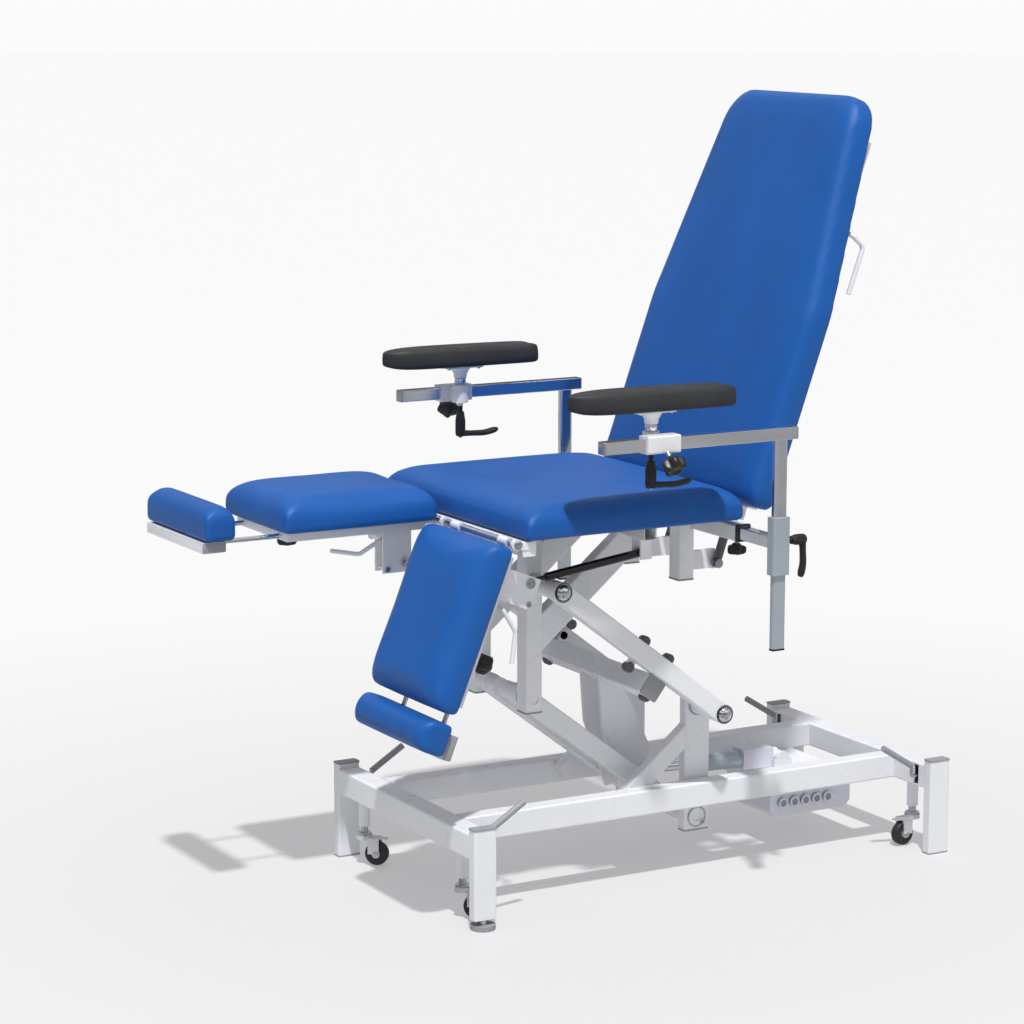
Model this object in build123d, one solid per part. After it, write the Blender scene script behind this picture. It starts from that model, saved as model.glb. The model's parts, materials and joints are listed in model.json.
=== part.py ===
from build123d import *
import math
import os

# A three-section examination and treatment chair on a parallelogram lift: a floor frame with retractable
# castors, a seat with two leg sections, a tall tapered back and two adjustable armrests.
# Lengths are in millimetres. +X runs to the head end, +Y to the far side, +Z up. The layout is worked out
# about the middle of the floor frame, and save() moves it so that the origin is the middle of the whole box.

os.makedirs("parts", exist_ok=True)

# ---------------------------------------------------------------- driving dimensions
BASE_X = 211.25         # the floor frame's middle, towards the head end of the origin
BASE_LENGTH = 1153.0
BASE_WIDTH = 620.0
LEG_X, LEG_Y = 50.0, 25.0
LEG_TOP = 205.0
CAP = 3.0               # thickness of a plastic end cap
LIP = 1.0               # how far a cap stands out of its tube
RAIL_LOW, RAIL_HIGH = 140.0, 192.0
LONG_RAIL_IN, LONG_RAIL_OUT = 139.0, 179.0
WALL = 3.0

ARM_LENGTH = 484.0      # between a lift arm's pivots
ARM_ANGLE = 37.2        # its slope at rest
ARM_SIZE = 40.0
BASE_PIVOT = (48.0, 349.0)
LINK_DROP = 241.0       # the lower arms' pivots lie this far under the upper ones
AXLE_R = 10.0
RUN = 0.08              # radial clearance of a running fit
TOP_PIVOT = (BASE_PIVOT[0] - ARM_LENGTH * math.cos(math.radians(ARM_ANGLE)),
             BASE_PIVOT[1] + ARM_LENGTH * math.sin(math.radians(ARM_ANGLE)))
COLUMN_IN, COLUMN_OUT = 86.0, 126.0
POST_IN, POST_OUT = 114.0, 139.0
UPPER_ARM_IN, UPPER_ARM_OUT = 200.0, 240.0
LOWER_ARM_IN, LOWER_ARM_OUT = 44.0, 84.0
BEAM_ALONG, BEAM_SIZE, BEAM_HALF = 170.0, 44.0, 216.0     # the cross beam under the upper arms
LEVER_PIN = (-52.0, 188.0)
MOTOR_PIN = (340.0, 172.0)

SEAT_LOW, SEAT_HIGH = 763.0, 830.0
HALF_WIDTH = 305.0
SEAT_FRONT, SEAT_REAR = -461.0, 46.0
FRAME_LOW = 733.0

BACK_HINGE = (122.0, 752.0)
BACK_ANGLE = 70.0
BACK_START, BACK_KINK, BACK_TOP = 14.0, 421.0, 890.0
BACK_TOP_HALF = 232.0
BACK_LOW, BACK_HIGH = 11.5, 76.0

LEG_HINGE = (-474.0, 759.0)
LEG_SIDE_Y = 152.0      # the middle of each leg section
LEG_WIDTH = 294.0
LEG_DROP = {"near": 68.0, "far": 0.0}
FOOT_OUT = {"near": 0.0, "far": 86.0}    # how far each foot pad is drawn out
SIDE = {"near": -1, "far": 1}
LEG_STRUT_PIN = (62.0, -86.0)            # along and below a leg section
LEG_STRUT_SEAT = (-150.0, 704.6)
STRUT_OFFSET = 78.0

BACK_STRUT_PIN = (116.0, 636.0)
BACK_STRUT_TOP = (200.0, -28.0)          # along and behind the back
STRUT_PLATE_IN, STRUT_PLATE_OUT = 79.0, 87.0
REAR_COLUMN_X, REAR_COLUMN_DEEP, REAR_COLUMN_LOW = 24.5, 37.0, 615.0
BACK_STRUT_Y = 98.0

RECEIVER_X, RECEIVER_Z = 52.0, 736.0
MAST_Y = 418.0
MAST_LOW = 525.0
MAST_X, MAST_WIDE = 30.0, 15.0            # the mast's section
COLLAR_Z = (672.0, 788.0)
ARM_TUBE = 25.0
ARM_TUBE_Z = 956.0
ARM_TUBE_X = (-358.0, 85.0)
CARRIAGE_X = (-265.0, -191.0)
PAD_PIN_Y = 386.0
PAD_X = (-415.0, -36.0)
PAD_LOW, PAD_HIGH = 1018.0, 1062.0

PEDAL_Y = 259.0
PEDAL_Z = 162.0
CASTOR_Y = 215.0
WHEEL_R = 25.0
WHEEL_TRAIL = 27.0
WHEEL_Z = 26.0
CASTOR_TURN = {"foot_near": -35.0, "foot_far": -42.0, "head_near": 184.0, "head_far": 150.0}


# ---------------------------------------------------------------- helpers
def save(name, *pieces):
    """Writes one sub-part, made of one or more separate solids."""
    solids = [solid for piece in pieces for solid in piece.solids()]
    export_step(Pos(BASE_X, 0, 0) * Compound(solids), f"parts/{name}.step")
    return pieces


def block(x0, x1, y0, y1, z0, z1):
    """A block between two corners."""
    return Pos((x0 + x1) / 2, (y0 + y1) / 2, (z0 + z1) / 2) * Box(x1 - x0, abs(y1 - y0), z1 - z0)


def tube(length, wide, high, wall=0.0, corner=4.0):
    """A rectangular tube along +X from the origin, wide in Y and high in Z; no wall makes it solid."""
    outer = extrude(Plane.YZ * RectangleRounded(wide, high, corner), length)
    if wall:
        inner = RectangleRounded(wide - 2 * wall, high - 2 * wall, max(corner - wall, 1.0))
        outer -= extrude(Plane.YZ * inner, length)
    return outer


def tube_x(x0, x1, y, z, wide, high, wall=0.0, corner=4.0):
    return Pos(x0, y, z) * tube(x1 - x0, wide, high, wall, corner)


def tube_y(y0, y1, x, z, wide, high, wall=0.0, corner=4.0):
    return Pos(x, y0, z) * Rot(0, 0, 90) * tube(y1 - y0, wide, high, wall, corner)


def tube_z(z0, z1, x, y, deep_x, wide_y, wall=0.0, corner=4.0):
    return Pos(x, y, z0) * Rot(0, -90, 0) * tube(z1 - z0, wide_y, deep_x, wall, corner)


def slanted(x0, z0, x1, z1, y, wide, high, wall=0.0, corner=4.0):
    """A tube between two points of an upright plane along X."""
    rise = math.degrees(math.atan2(z1 - z0, x1 - x0))
    return Pos(x0, y, z0) * Rot(0, -rise, 0) * tube(math.hypot(x1 - x0, z1 - z0), wide, high, wall, corner)


def rod_y(y0, y1, x, z, radius):
    return Pos(x, (y0 + y1) / 2, z) * Rot(90, 0, 0) * Cylinder(radius, abs(y1 - y0))


def rod_z(z0, z1, x, y, radius):
    return Pos(x, y, (z0 + z1) / 2) * Cylinder(radius, z1 - z0)


def rod_x(x0, x1, y, z, radius):
    return Pos((x0 + x1) / 2, y, z) * Rot(0, 90, 0) * Cylinder(radius, x1 - x0)


def bent_rod(points, bends, radius):
    """A round rod along straight runs joined by arcs."""
    path = FilletPolyline(*points, radius=bends)
    return sweep(Plane(path @ 0, z_dir=path % 0) * Circle(radius), path=path)


def both(y0, y1):
    """The two mirrored stretches of Y between two distances from the middle."""
    return ((-y1, -y0), (y0, y1))


def star_knob(radius, height):
    """A five-lobed knob along +Z from the origin, on its neck."""
    knob = Pos(0, 0, height * 0.7) * Cylinder(radius * 0.72, height * 0.6)
    for lobe in range(5):
        turn = math.radians(72 * lobe)
        reach = radius * 0.72
        knob += Pos(reach * math.cos(turn), reach * math.sin(turn), height * 0.7) * Cylinder(
            radius * 0.28, height * 0.6)
    return knob + Pos(0, 0, height * 0.2) * Cylinder(radius * 0.3, height * 0.4)


def clamp_lever(reach, drop):
    """A clamping lever: a hub along +Z from the origin, and a handle that leaves it along +X."""
    hub = Pos(0, 0, drop / 2) * Cylinder(11, drop)
    grip = Pos(0, 0, drop - 6) * extrude(
        Plane.XY * make_hull((Circle(8) + Pos(reach - 6, 0) * Circle(6)).edges()), 11)
    return hub + grip


# ---------------------------------------------------------------- floor frame
HALF_L, HALF_W = BASE_LENGTH / 2, BASE_WIDTH / 2
RAIL_X = HALF_L - LEG_X / 2                  # the end rails' and legs' middle line
RAIL_MID = (RAIL_LOW + RAIL_HIGH) / 2
RAIL_H = RAIL_HIGH - RAIL_LOW
LEG_MID_Y = HALF_W - LEG_Y / 2
GUIDE_LOW = 84.0                             # the castor guides' lower ends
STEM_R = 8.0


def base_rails():
    """Two end rails with castor guides and pedal slots, and two long rails between them."""
    pieces = []
    for end in (-1, 1):
        half = HALF_W - LEG_Y
        rail = tube_y(-half, half, end * RAIL_X, RAIL_MID, LEG_X, RAIL_H, WALL)
        for side in (-1, 1):
            x, y = end * RAIL_X, side * CASTOR_Y
            bore = rod_z(GUIDE_LOW - 1, RAIL_LOW + WALL + 1, x, y, STEM_R + RUN)
            pieces.append(rod_z(GUIDE_LOW, RAIL_LOW, x, y, 12) - bore)
            rail -= bore
            slot_y = side * PEDAL_Y
            inner = end * (HALF_L - LEG_X)
            rail -= block(min(inner, inner + end * 2 * WALL) - 1, max(inner, inner + end * 2 * WALL) + 1,
                          slot_y - 8, slot_y + 8, RAIL_LOW + 5, RAIL_HIGH - 5)
        pieces.append(rail)
    for y0, y1 in both(LONG_RAIL_IN, LONG_RAIL_OUT):
        pieces.append(tube_x(-HALF_L + LEG_X, HALF_L - LEG_X, (y0 + y1) / 2, RAIL_MID,
                             LONG_RAIL_OUT - LONG_RAIL_IN, RAIL_H, WALL))
    return pieces


def base_legs():
    """Four legs of flat tube; the one at the foot end's near corner is shorter, for its levelling foot."""
    pieces = []
    for end in (-1, 1):
        for side in (-1, 1):
            low = 21.0 if (end, side) == (-1, -1) else CAP
            pieces.append(tube_z(low, LEG_TOP - CAP, end * RAIL_X, side * LEG_MID_Y, LEG_X, LEG_Y, 2.0))
    return pieces


def base_feet():
    """Grey caps above and below the legs, and the levelling foot."""
    pieces = []
    for end in (-1, 1):
        for side in (-1, 1):
            for low in (0.0, LEG_TOP - CAP):
                if (end, side, low) != (-1, -1, 0.0):
                    pieces.append(tube_z(low, low + CAP, end * RAIL_X, side * LEG_MID_Y,
                                         LEG_X + 2 * LIP, LEG_Y + 2 * LIP, 0, 5))
    pad = Pos(-RAIL_X, -LEG_MID_Y, 5) * Cylinder(25, 10)
    pad += Pos(-RAIL_X, -LEG_MID_Y, 15.5) * Cylinder(7, 11)
    pieces.append(pad)
    return pieces


def lift_posts():
    """Two upright posts inside the long rails, with a slanted brace in front of each."""
    pieces = []
    for y0, y1 in both(POST_IN, POST_OUT):
        y = (y0 + y1) / 2
        post = tube_z(82, 365, BASE_PIVOT[0], y, 60, POST_OUT - POST_IN, 0)
        for z in (BASE_PIVOT[1], BASE_PIVOT[1] - LINK_DROP):
            post -= rod_y(y0 - 1, y1 + 1, BASE_PIVOT[0], z, AXLE_R + RUN)
        brace = slanted(40, 301.5, -125, 165, y, POST_OUT - POST_IN, 40, 0)
        brace -= block(18, 78, y0 - 1, y1 + 1, 82, 365)
        pieces += [post, brace]
    return pieces


def control_box():
    """The control box under its cradle plate, with the actuator's rear lugs."""
    box = block(262, 470, -98, 70, 66, 138)
    box = chamfer(box.edges().filter_by(Axis.Y).group_by(Axis.Z)[0], 14)
    plate = block(248, 478, -LONG_RAIL_IN, LONG_RAIL_IN, 138, 141.5)
    body = box + plate
    for y0, y1 in both(24.5, 30.5):
        lug = block(318, 362, y0, y1, 141, MOTOR_PIN[1])
        body += lug + rod_y(y0, y1, MOTOR_PIN[0], MOTOR_PIN[1], 16)
    body += rod_y(-30.5, 30.5, MOTOR_PIN[0], MOTOR_PIN[1], 6)
    for socket in range(5):
        body += rod_y(-104, -98, 292 + 29 * socket, 96, 11)
    return [body]


# ---------------------------------------------------------------- lift
def along_arm(distance, below=0.0):
    """A point on the upper arms' centre line, that far from the base pivot, and that far under it."""
    angle = math.radians(ARM_ANGLE)
    return (BASE_PIVOT[0] - distance * math.cos(angle) - below * math.sin(angle),
            BASE_PIVOT[1] + distance * math.sin(angle) - below * math.cos(angle))


def link(start, end, y0, y1, size):
    """A lift arm of square tube between two pivots, with rounded ends bored for their axles."""
    y = (y0 + y1) / 2
    arm = slanted(*start, *end, y, y1 - y0, size, 0, 3)
    for x, z in (start, end):
        arm += rod_y(y0, y1, x, z, size / 2)
    for x, z in (start, end):
        arm -= rod_y(y0 - 1, y1 + 1, x, z, AXLE_R)
    return arm


def lower(point):
    return (point[0], point[1] - LINK_DROP)


def upper_arms():
    """The two outer arms, with their sleeves, the cross beam under them and its two actuator levers."""
    pieces = []
    for y0, y1 in both(UPPER_ARM_IN, UPPER_ARM_OUT):
        pieces.append(link(BASE_PIVOT, TOP_PIVOT, y0, y1, ARM_SIZE))
    for inner, (x, z) in ((COLUMN_OUT + 0.5, TOP_PIVOT), (POST_OUT + 0.5, BASE_PIVOT)):
        for y0, y1 in both(inner, UPPER_ARM_IN):
            pieces.append(rod_y(y0, y1, x, z, 19) - rod_y(y0 - 1, y1 + 1, x, z, AXLE_R))
    beam_x, beam_z = along_arm(BEAM_ALONG, ARM_SIZE / 2 + BEAM_SIZE / 2)
    beam = tube(2 * BEAM_HALF, BEAM_SIZE, BEAM_SIZE)
    beam = Pos(beam_x, 0, beam_z) * Rot(0, ARM_ANGLE, 0) * Rot(0, 0, 90) * Pos(-BEAM_HALF, 0, 0) * beam
    pieces.append(beam)
    cut = Pos(beam_x, 0, beam_z) * Rot(0, ARM_ANGLE, 0) * Box(BEAM_SIZE, 100, BEAM_SIZE)
    tip_x, tip_z = LEVER_PIN
    for y0, y1 in both(32, 40):
        kite = Polyline((beam_x - 22, beam_z + 10), (beam_x + 26, beam_z - 8),
                        (tip_x + 44, tip_z + 60), (tip_x + 26, tip_z - 30),
                        (tip_x - 18, tip_z - 38), (tip_x - 72, tip_z + 110), close=True)
        plate = Pos(0, (y0 + y1) / 2, 0) * extrude(Plane.XZ * make_face(kite), 4, both=True)
        pieces.append(plate - cut)
    return pieces


def pivot_shafts():
    """The upper arms' axles, with a chrome dome on each outer end."""
    pieces = []
    domes = {1: UPPER_ARM_OUT, -1: -UPPER_ARM_OUT}
    for spans, (x, z) in (([(-UPPER_ARM_OUT, UPPER_ARM_OUT)], TOP_PIVOT),
                          (both(POST_IN - 2, UPPER_ARM_OUT), BASE_PIVOT)):
        for y0, y1 in spans:
            shaft = rod_y(y0, y1, x, z, AXLE_R)
            for side, face in domes.items():
                if face in (y0, y1):
                    ball = Pos(x, face - side * 6, z) * Sphere(18)
                    keep = block(x - 20, x + 20, min(face, face + side * 20), max(face, face + side * 20),
                                 z - 20, z + 20)
                    shaft += ball & keep
            pieces.append(shaft)
    return pieces


def lower_arms():
    """The two inner arms, on their own stub axles."""
    pieces = []
    for side in (-1, 1):
        y0, y1 = sorted((side * LOWER_ARM_IN, side * LOWER_ARM_OUT))
        pieces.append(link(lower(BASE_PIVOT), lower(TOP_PIVOT), y0, y1, ARM_SIZE))
        for reach_in, reach_out, (x, z) in ((LOWER_ARM_IN - 2, POST_OUT - 2, lower(BASE_PIVOT)),
                                            (13, COLUMN_OUT - 2, lower(TOP_PIVOT))):
            a, b = sorted((side * reach_in, side * reach_out))
            pieces.append(rod_y(a, b, x, z, AXLE_R))
        a, b = sorted((side * 13, side * LOWER_ARM_IN))
        x, z = lower(TOP_PIVOT)
        pieces.append(rod_y(a, b, x, z, 18) - rod_y(a - 1, b + 1, x, z, AXLE_R))
        a, b = sorted((side * LOWER_ARM_OUT, side * (POST_IN - 0.5)))
        x, z = lower(BASE_PIVOT)
        pieces.append(rod_y(a, b, x, z, 17) - rod_y(a - 1, b + 1, x, z, AXLE_R))
    return pieces


# the actuator lies along a line from its rear pin to the levers' pin
PUSH = math.atan2(LEVER_PIN[1] - MOTOR_PIN[1], MOTOR_PIN[0] - LEVER_PIN[0])
PUSH_LENGTH = math.hypot(LEVER_PIN[1] - MOTOR_PIN[1], MOTOR_PIN[0] - LEVER_PIN[0])
push_place = Location(Plane(origin=(MOTOR_PIN[0], 0, MOTOR_PIN[1]),
                            x_dir=(-math.cos(PUSH), 0, math.sin(PUSH)),
                            z_dir=(math.sin(PUSH), 0, math.cos(PUSH))))
HOUSING = 226.0


def lift_motor():
    """The actuator's motor end and its long tube, open for the rod."""
    body = rod_y(-24, 24, 0, 0, 15) + rod_x(0, HOUSING, 0, 0, 19)
    body += block(20, 96, -22, 22, -19, 24)
    body -= rod_x(30, HOUSING + 1, 0, 0, 11 + RUN)
    body -= rod_y(-25, 25, 0, 0, 6 + RUN)
    return [push_place * body]


def lift_rod():
    """The actuator's rod and the eye that lies between the levers."""
    rod = rod_x(148, PUSH_LENGTH - 16, 0, 0, 11)
    eye = rod_y(-15, 15, PUSH_LENGTH, 0, 20) - rod_y(-16, 16, PUSH_LENGTH, 0, 8)
    rod += eye
    return [push_place * rod]


# ---------------------------------------------------------------- seat frame
def frame_columns():
    """Two front columns on the lift arms, two rear ones with strut blocks, and the slanted braces."""
    pieces = []
    x, z = TOP_PIVOT
    for y0, y1 in both(COLUMN_IN, COLUMN_OUT):
        y, wide = (y0 + y1) / 2, COLUMN_OUT - COLUMN_IN
        column = tube_z(375, FRAME_LOW, x, y, 38, wide, 0)
        for bore in (z, z - LINK_DROP):
            column -= rod_y(y0 - 1, y1 + 1, x, bore, AXLE_R + RUN)
        pieces.append(column)
        brace = slanted(x, 520, -62, FRAME_LOW + 16, y, 30, 60, 0)
        brace -= block(x - 80, x + 19, y0 - 1, y1 + 1, 300, FRAME_LOW + 40)
        brace -= block(-500, 200, y0 - 1, y1 + 1, FRAME_LOW, 900)
        pieces.append(brace)
    for side in (-1, 1):
        y, wide = side * (COLUMN_IN + COLUMN_OUT) / 2, COLUMN_OUT - COLUMN_IN
        rear = tube_z(REAR_COLUMN_LOW, FRAME_LOW, REAR_COLUMN_X, y, REAR_COLUMN_DEEP, wide, 0)
        rear -= block(RECEIVER_X - 17.2, 200, -200, 200, RECEIVER_Z - 17.2, 800)
        plate_in, plate_out = sorted((side * STRUT_PLATE_IN, side * STRUT_PLATE_OUT))
        arm = block(REAR_COLUMN_X + REAR_COLUMN_DEEP / 2, BACK_STRUT_PIN[0] + 4,
                    plate_in, plate_out, 624, 664)
        arm += rod_y(plate_in, plate_out, *BACK_STRUT_PIN, 14)
        arm += rod_y(*sorted((side * STRUT_PLATE_OUT, side * (BACK_STRUT_Y + 9))), *BACK_STRUT_PIN, 5)
        pieces += [rear, arm]
    return pieces


def seat_frame():
    """Rails, cross bars, the armrest receiver, the leg hinge bar with its lugs, and the back's hinge lugs."""
    pieces = []
    mid = (FRAME_LOW + SEAT_LOW) / 2
    high = SEAT_LOW - FRAME_LOW
    for y0, y1 in both(COLUMN_IN, COLUMN_OUT):
        for x0, x1 in ((-430, -165), (-135, RECEIVER_X - 17)):
            pieces.append(tube_x(x0, x1, (y0 + y1) / 2, mid, y1 - y0, high, 2.5))
    front = tube_y(-292, 292, -445, mid, 30, high, 0)
    hinge = rod_y(-300, 300, *LEG_HINGE, 7.5)
    for y in (-290, 0, 290):
        lug = block(LEG_HINGE[0], -440, y - 4, y + 4, LEG_HINGE[1] - 11, SEAT_LOW - 1)
        front += lug + rod_y(y - 4, y + 4, *LEG_HINGE, 11)
    pieces.append(front + hinge)
    pieces.append(tube_y(-262, 262, -150, mid, 30, high, 2.5))
    for strut_y in (-LEG_SIDE_Y - STRUT_OFFSET, LEG_SIDE_Y - STRUT_OFFSET):
        for y in (strut_y - 15, strut_y + 15):
            x, z = LEG_STRUT_SEAT
            pieces.append(block(x - 13, x + 13, y - 2, y + 2, z - 12, FRAME_LOW))
    receiver = tube_y(-292, 292, RECEIVER_X, RECEIVER_Z, 34, 34, 4.2, 4)
    pieces.append(receiver)
    for side in (-1, 1):
        y0, y1 = sorted((side * 160, side * 168))
        lug = block(RECEIVER_X + 17, BACK_HINGE[0], y0, y1, RECEIVER_Z - 15, RECEIVER_Z + 15)
        lug += rod_y(y0, y1, *BACK_HINGE, 13)
        pieces.append(lug + rod_y(*sorted((side * 160, side * 184)), *BACK_HINGE, 6))
    return pieces


def soft_block(outline, thickness, rounding):
    """A closed pad: an outline in XY, raised, with its upper edges rounded."""
    pad = extrude(outline, thickness)
    return fillet(pad.edges().group_by(Axis.Z)[-1], rounding)


def seat_pad():
    length = SEAT_REAR - SEAT_FRONT
    outline = RectangleRounded(length, 2 * HALF_WIDTH, 30)
    return [Pos((SEAT_FRONT + SEAT_REAR) / 2, 0, SEAT_LOW) * soft_block(outline, SEAT_HIGH - SEAT_LOW, 24)]


def bar_knobs():
    """The star knobs that lock the armrest bars in the receiver."""
    return [Pos(RECEIVER_X, side * 268, RECEIVER_Z - 17) * Rot(180, 0, 0) * star_knob(20, 30)
            for side in (-1, 1)]


# ---------------------------------------------------------------- back
back_lean = math.radians(BACK_ANGLE)
back_place = Location(Plane(origin=(BACK_HINGE[0], 0, BACK_HINGE[1]),
                            x_dir=(math.cos(back_lean), 0, math.sin(back_lean)),
                            z_dir=(-math.sin(back_lean), 0, math.cos(back_lean))))
BACK_RAIL_Y = 200.0


def back_frame():
    """Two long rails behind the pad, three cross bars, the hinge ears and the strut's upper lugs."""
    pieces = []
    for side in (-1, 1):
        y = side * BACK_RAIL_Y
        rail = tube_x(16, 805, y, -1, 25, 25, 2)
        ear = block(-12, 40, *sorted((side * 170, side * 178)), -11, 11) + rod_y(
            *sorted((side * 170, side * 178)), 0, 0, 12)
        ear += block(16, 40, *sorted((side * 170, side * 187.5)), -11, 11)
        ear -= rod_y(*sorted((side * 169, side * 179)), 0, 0, 6 + RUN)
        pieces += [rail, ear]
    for along in (60, 330, 760):
        pieces.append(tube_y(-187.5, 187.5, along, -1, 25, 25, 2))
    for side in (-1, 1):
        y0, y1 = sorted((side * 78, side * 84))
        plate = block(170, BACK_STRUT_TOP[0] + 12, y0, y1, BACK_STRUT_TOP[1] - 12, -13.5)
        bar_end = block(170, 317.5, y0, y1, -13.5, 4)
        pieces.append(plate + bar_end)
    return [back_place * piece for piece in pieces]


def back_pad():
    """The tall pad: straight to above the waist, then tapering to the head."""
    top_corner, low_corner = 80.0, 26.0
    outline = Polyline((BACK_START, -HALF_WIDTH), (BACK_KINK, -HALF_WIDTH),
                       (BACK_TOP, -BACK_TOP_HALF), (BACK_TOP, BACK_TOP_HALF),
                       (BACK_KINK, HALF_WIDTH), (BACK_START, HALF_WIDTH), close=True)
    face = make_face(outline)
    face = fillet(face.vertices().group_by(Axis.X)[-1], top_corner)
    face = fillet(face.vertices().group_by(Axis.X)[0], low_corner)
    pad = soft_block(face, BACK_HIGH - BACK_LOW, 24)
    return [back_place * Pos(0, 0, BACK_LOW) * pad]


BACK_HANDLE_S = 610.0


def back_handle():
    """The bent release handle on the near rail; it turns about its own stub."""
    y = -BACK_RAIL_Y - 12.8
    points = [(BACK_HANDLE_S, y, -3), (BACK_HANDLE_S, y - 37, -3), (BACK_HANDLE_S - 14, y - 37, -42),
              (BACK_HANDLE_S - 117, y - 37, -42)]
    return [back_place * bent_rod(points, [10, 14], 5)]


def strut_axis(start, end):
    """The length between two points and the place whose X runs from the first to the second."""
    dx, dz = end[0] - start[0], end[1] - start[1]
    length = math.hypot(dx, dz)
    return length, Plane(origin=(start[0], 0, start[1]), x_dir=(dx / length, 0, dz / length),
                         z_dir=(-dz / length, 0, dx / length))


def back_point(along_back, off):
    """A point of the back's own plane in the whole object's X and Z."""
    return (BACK_HINGE[0] + along_back * math.cos(back_lean) - off * math.sin(back_lean),
            BACK_HINGE[1] + along_back * math.sin(back_lean) + off * math.cos(back_lean))


BACK_STRUT_LENGTH, back_strut_plane = strut_axis(BACK_STRUT_PIN, back_point(*BACK_STRUT_TOP))


def back_struts():
    """Two gas springs, cylinder down, between the rear columns' blocks and the back frame."""
    cylinders, rods = [], []
    place = Location(back_strut_plane)
    for side in (-1, 1):
        y = side * BACK_STRUT_Y
        cylinder = rod_y(y - 5.5, y + 5.5, 0, 0, 10) - rod_y(y - 6, y + 6, 0, 0, 5 + RUN)
        cylinder += rod_x(9, 170, y, 0, 9.5)
        cylinder -= rod_x(24, 171, y, 0, 4 + RUN)
        rod = rod_x(110, BACK_STRUT_LENGTH - 6, y, 0, 4)
        rod += rod_y(y - 6, y + 6, BACK_STRUT_LENGTH, 0, 9)
        cylinders.append(place * cylinder)
        rods.append(place * rod)
    return cylinders, rods


# ---------------------------------------------------------------- leg sections
PAD_S0, PAD_S1 = 12.0, 362.0
FOOT_S0, FOOT_S1 = 372.0, 439.0
LEG_THICK = 71.0
TRAY = 18.0
ROD_Y = 85.0


def leg_place(side):
    drop = math.radians(LEG_DROP[side])
    return Location(Plane(origin=(LEG_HINGE[0], SIDE[side] * LEG_SIDE_Y, LEG_HINGE[1]),
                          x_dir=(-math.cos(drop), 0, -math.sin(drop)),
                          z_dir=(-math.sin(drop), 0, math.cos(drop))))


def leg_frame(side):
    """A folded tray under the pad, hinge barrels, guide blocks for the rods and the strut's bracket."""
    tray = block(26, 335, -118, 118, -TRAY, 0)
    tray -= block(28.5, 332.5, -115.5, 115.5, -TRAY - 1, -2.5)
    for y in (-ROD_Y, ROD_Y):
        for s in (232, 316):
            tray += block(s, s + 16, y - 11, y + 11, -TRAY, -2)
            tray -= rod_x(s - 1, s + 40, y, -10, 5 + RUN)
    for y in (-96, 96):
        barrel = rod_y(y - 17, y + 17, 0, 0, 10) + block(0, 28, y - 17, y + 17, -8, -1)
        tray += barrel - rod_y(y - 18, y + 18, 0, 0, 7.5 + RUN)
    tray -= rod_y(-140, 140, 0, 0, 7.5 + RUN)
    s, n = LEG_STRUT_PIN
    for y in (STRUT_OFFSET - 17, STRUT_OFFSET + 17):
        tray += block(s - 14, s + 50, y - 2, y + 2, n - 20, -2.5)
    tray += rod_y(STRUT_OFFSET - 15, STRUT_OFFSET + 15, s, n, 5)
    tray += rod_y(STRUT_OFFSET - 15, STRUT_OFFSET + 15, s + 40, n - 12, 4)
    return [leg_place(side) * tray]


def leg_pad(side):
    outline = Pos((PAD_S0 + PAD_S1) / 2, 0) * RectangleRounded(PAD_S1 - PAD_S0, LEG_WIDTH, 42)
    return [leg_place(side) * Pos(0, 0, 0.5) * soft_block(outline, LEG_THICK, 24)]


def outward(side):
    """Local +Y of a leg section runs to the near side, so the outer edge changes sign."""
    return -SIDE[side]


def foot_slide(side):
    """Two chrome rods and the channel that carries the foot pad."""
    out = FOOT_OUT[side]
    pieces = block(FOOT_S0 + 18, FOOT_S1 + 1, -136, 136, -21, -0.5)
    pieces -= block(FOOT_S0 + 21, FOOT_S1 + 2, -133, 133, -18, -3.5)
    for y in (-ROD_Y, ROD_Y):
        pieces += rod_x(122, FOOT_S0 + 22, y, -10, 5)
    return [leg_place(side) * Pos(out, 0, 0) * pieces]


def foot_pad(side):
    outline = Pos((FOOT_S0 + FOOT_S1) / 2, 0) * RectangleRounded(FOOT_S1 - FOOT_S0, LEG_WIDTH, 14)
    return [leg_place(side) * Pos(FOOT_OUT[side], 0, 0) * soft_block(outline, LEG_THICK, 24)]


def foot_knob(side):
    """The star knob that clamps the outer rod of a foot pad."""
    place = leg_place(side) * Pos(240, outward(side) * ROD_Y, -TRAY - 0.3)
    return [place * Rot(180, 0, 0) * star_knob(21, 46)]


HANDLE_S, HANDLE_N, HANDLE_Y = 126.0, -30.0, 100.0


def leg_handle(side):
    """The bent release handle beside the strut's bracket; the raised leg's is folded under its tray."""
    fold = 0 if side == "near" else 26
    points = [(0, -24, 0), (0, 18, 0), (34, 18, -46), (96, 18, -62)]
    handle = bent_rod(points, [8, 16], 4.5)
    hub = Pos(0, -26, 0) * Rot(90, 0, 0) * Cylinder(7, 6)
    return [leg_place(side) * Pos(HANDLE_S, HANDLE_Y, HANDLE_N) * Rot(0, -fold, 0) * (handle + hub)]


def leg_strut(side):
    """A long black gas spring from the leg section's bracket to the seat frame's middle bar."""
    drop = math.radians(LEG_DROP[side])
    s, n = LEG_STRUT_PIN
    pin = (LEG_HINGE[0] - s * math.cos(drop) - n * math.sin(drop),
           LEG_HINGE[1] - s * math.sin(drop) + n * math.cos(drop))
    length, plane = strut_axis(pin, LEG_STRUT_SEAT)
    place = Pos(0, SIDE[side] * LEG_SIDE_Y - STRUT_OFFSET, 0) * Location(plane)
    rod = rod_y(-8, 8, 0, 0, 10) - rod_y(-9, 9, 0, 0, 5 + RUN)
    rod += rod_x(9.5, 190, 0, 0, 4.5)
    cylinder = rod_x(length - 225, length - 8, 0, 0, 8.5) - rod_x(length - 226, length - 30, 0, 0, 4.5 + RUN)
    cylinder += rod_y(-8, 8, length, 0, 8.5)
    return [place * rod], [place * cylinder]


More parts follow.
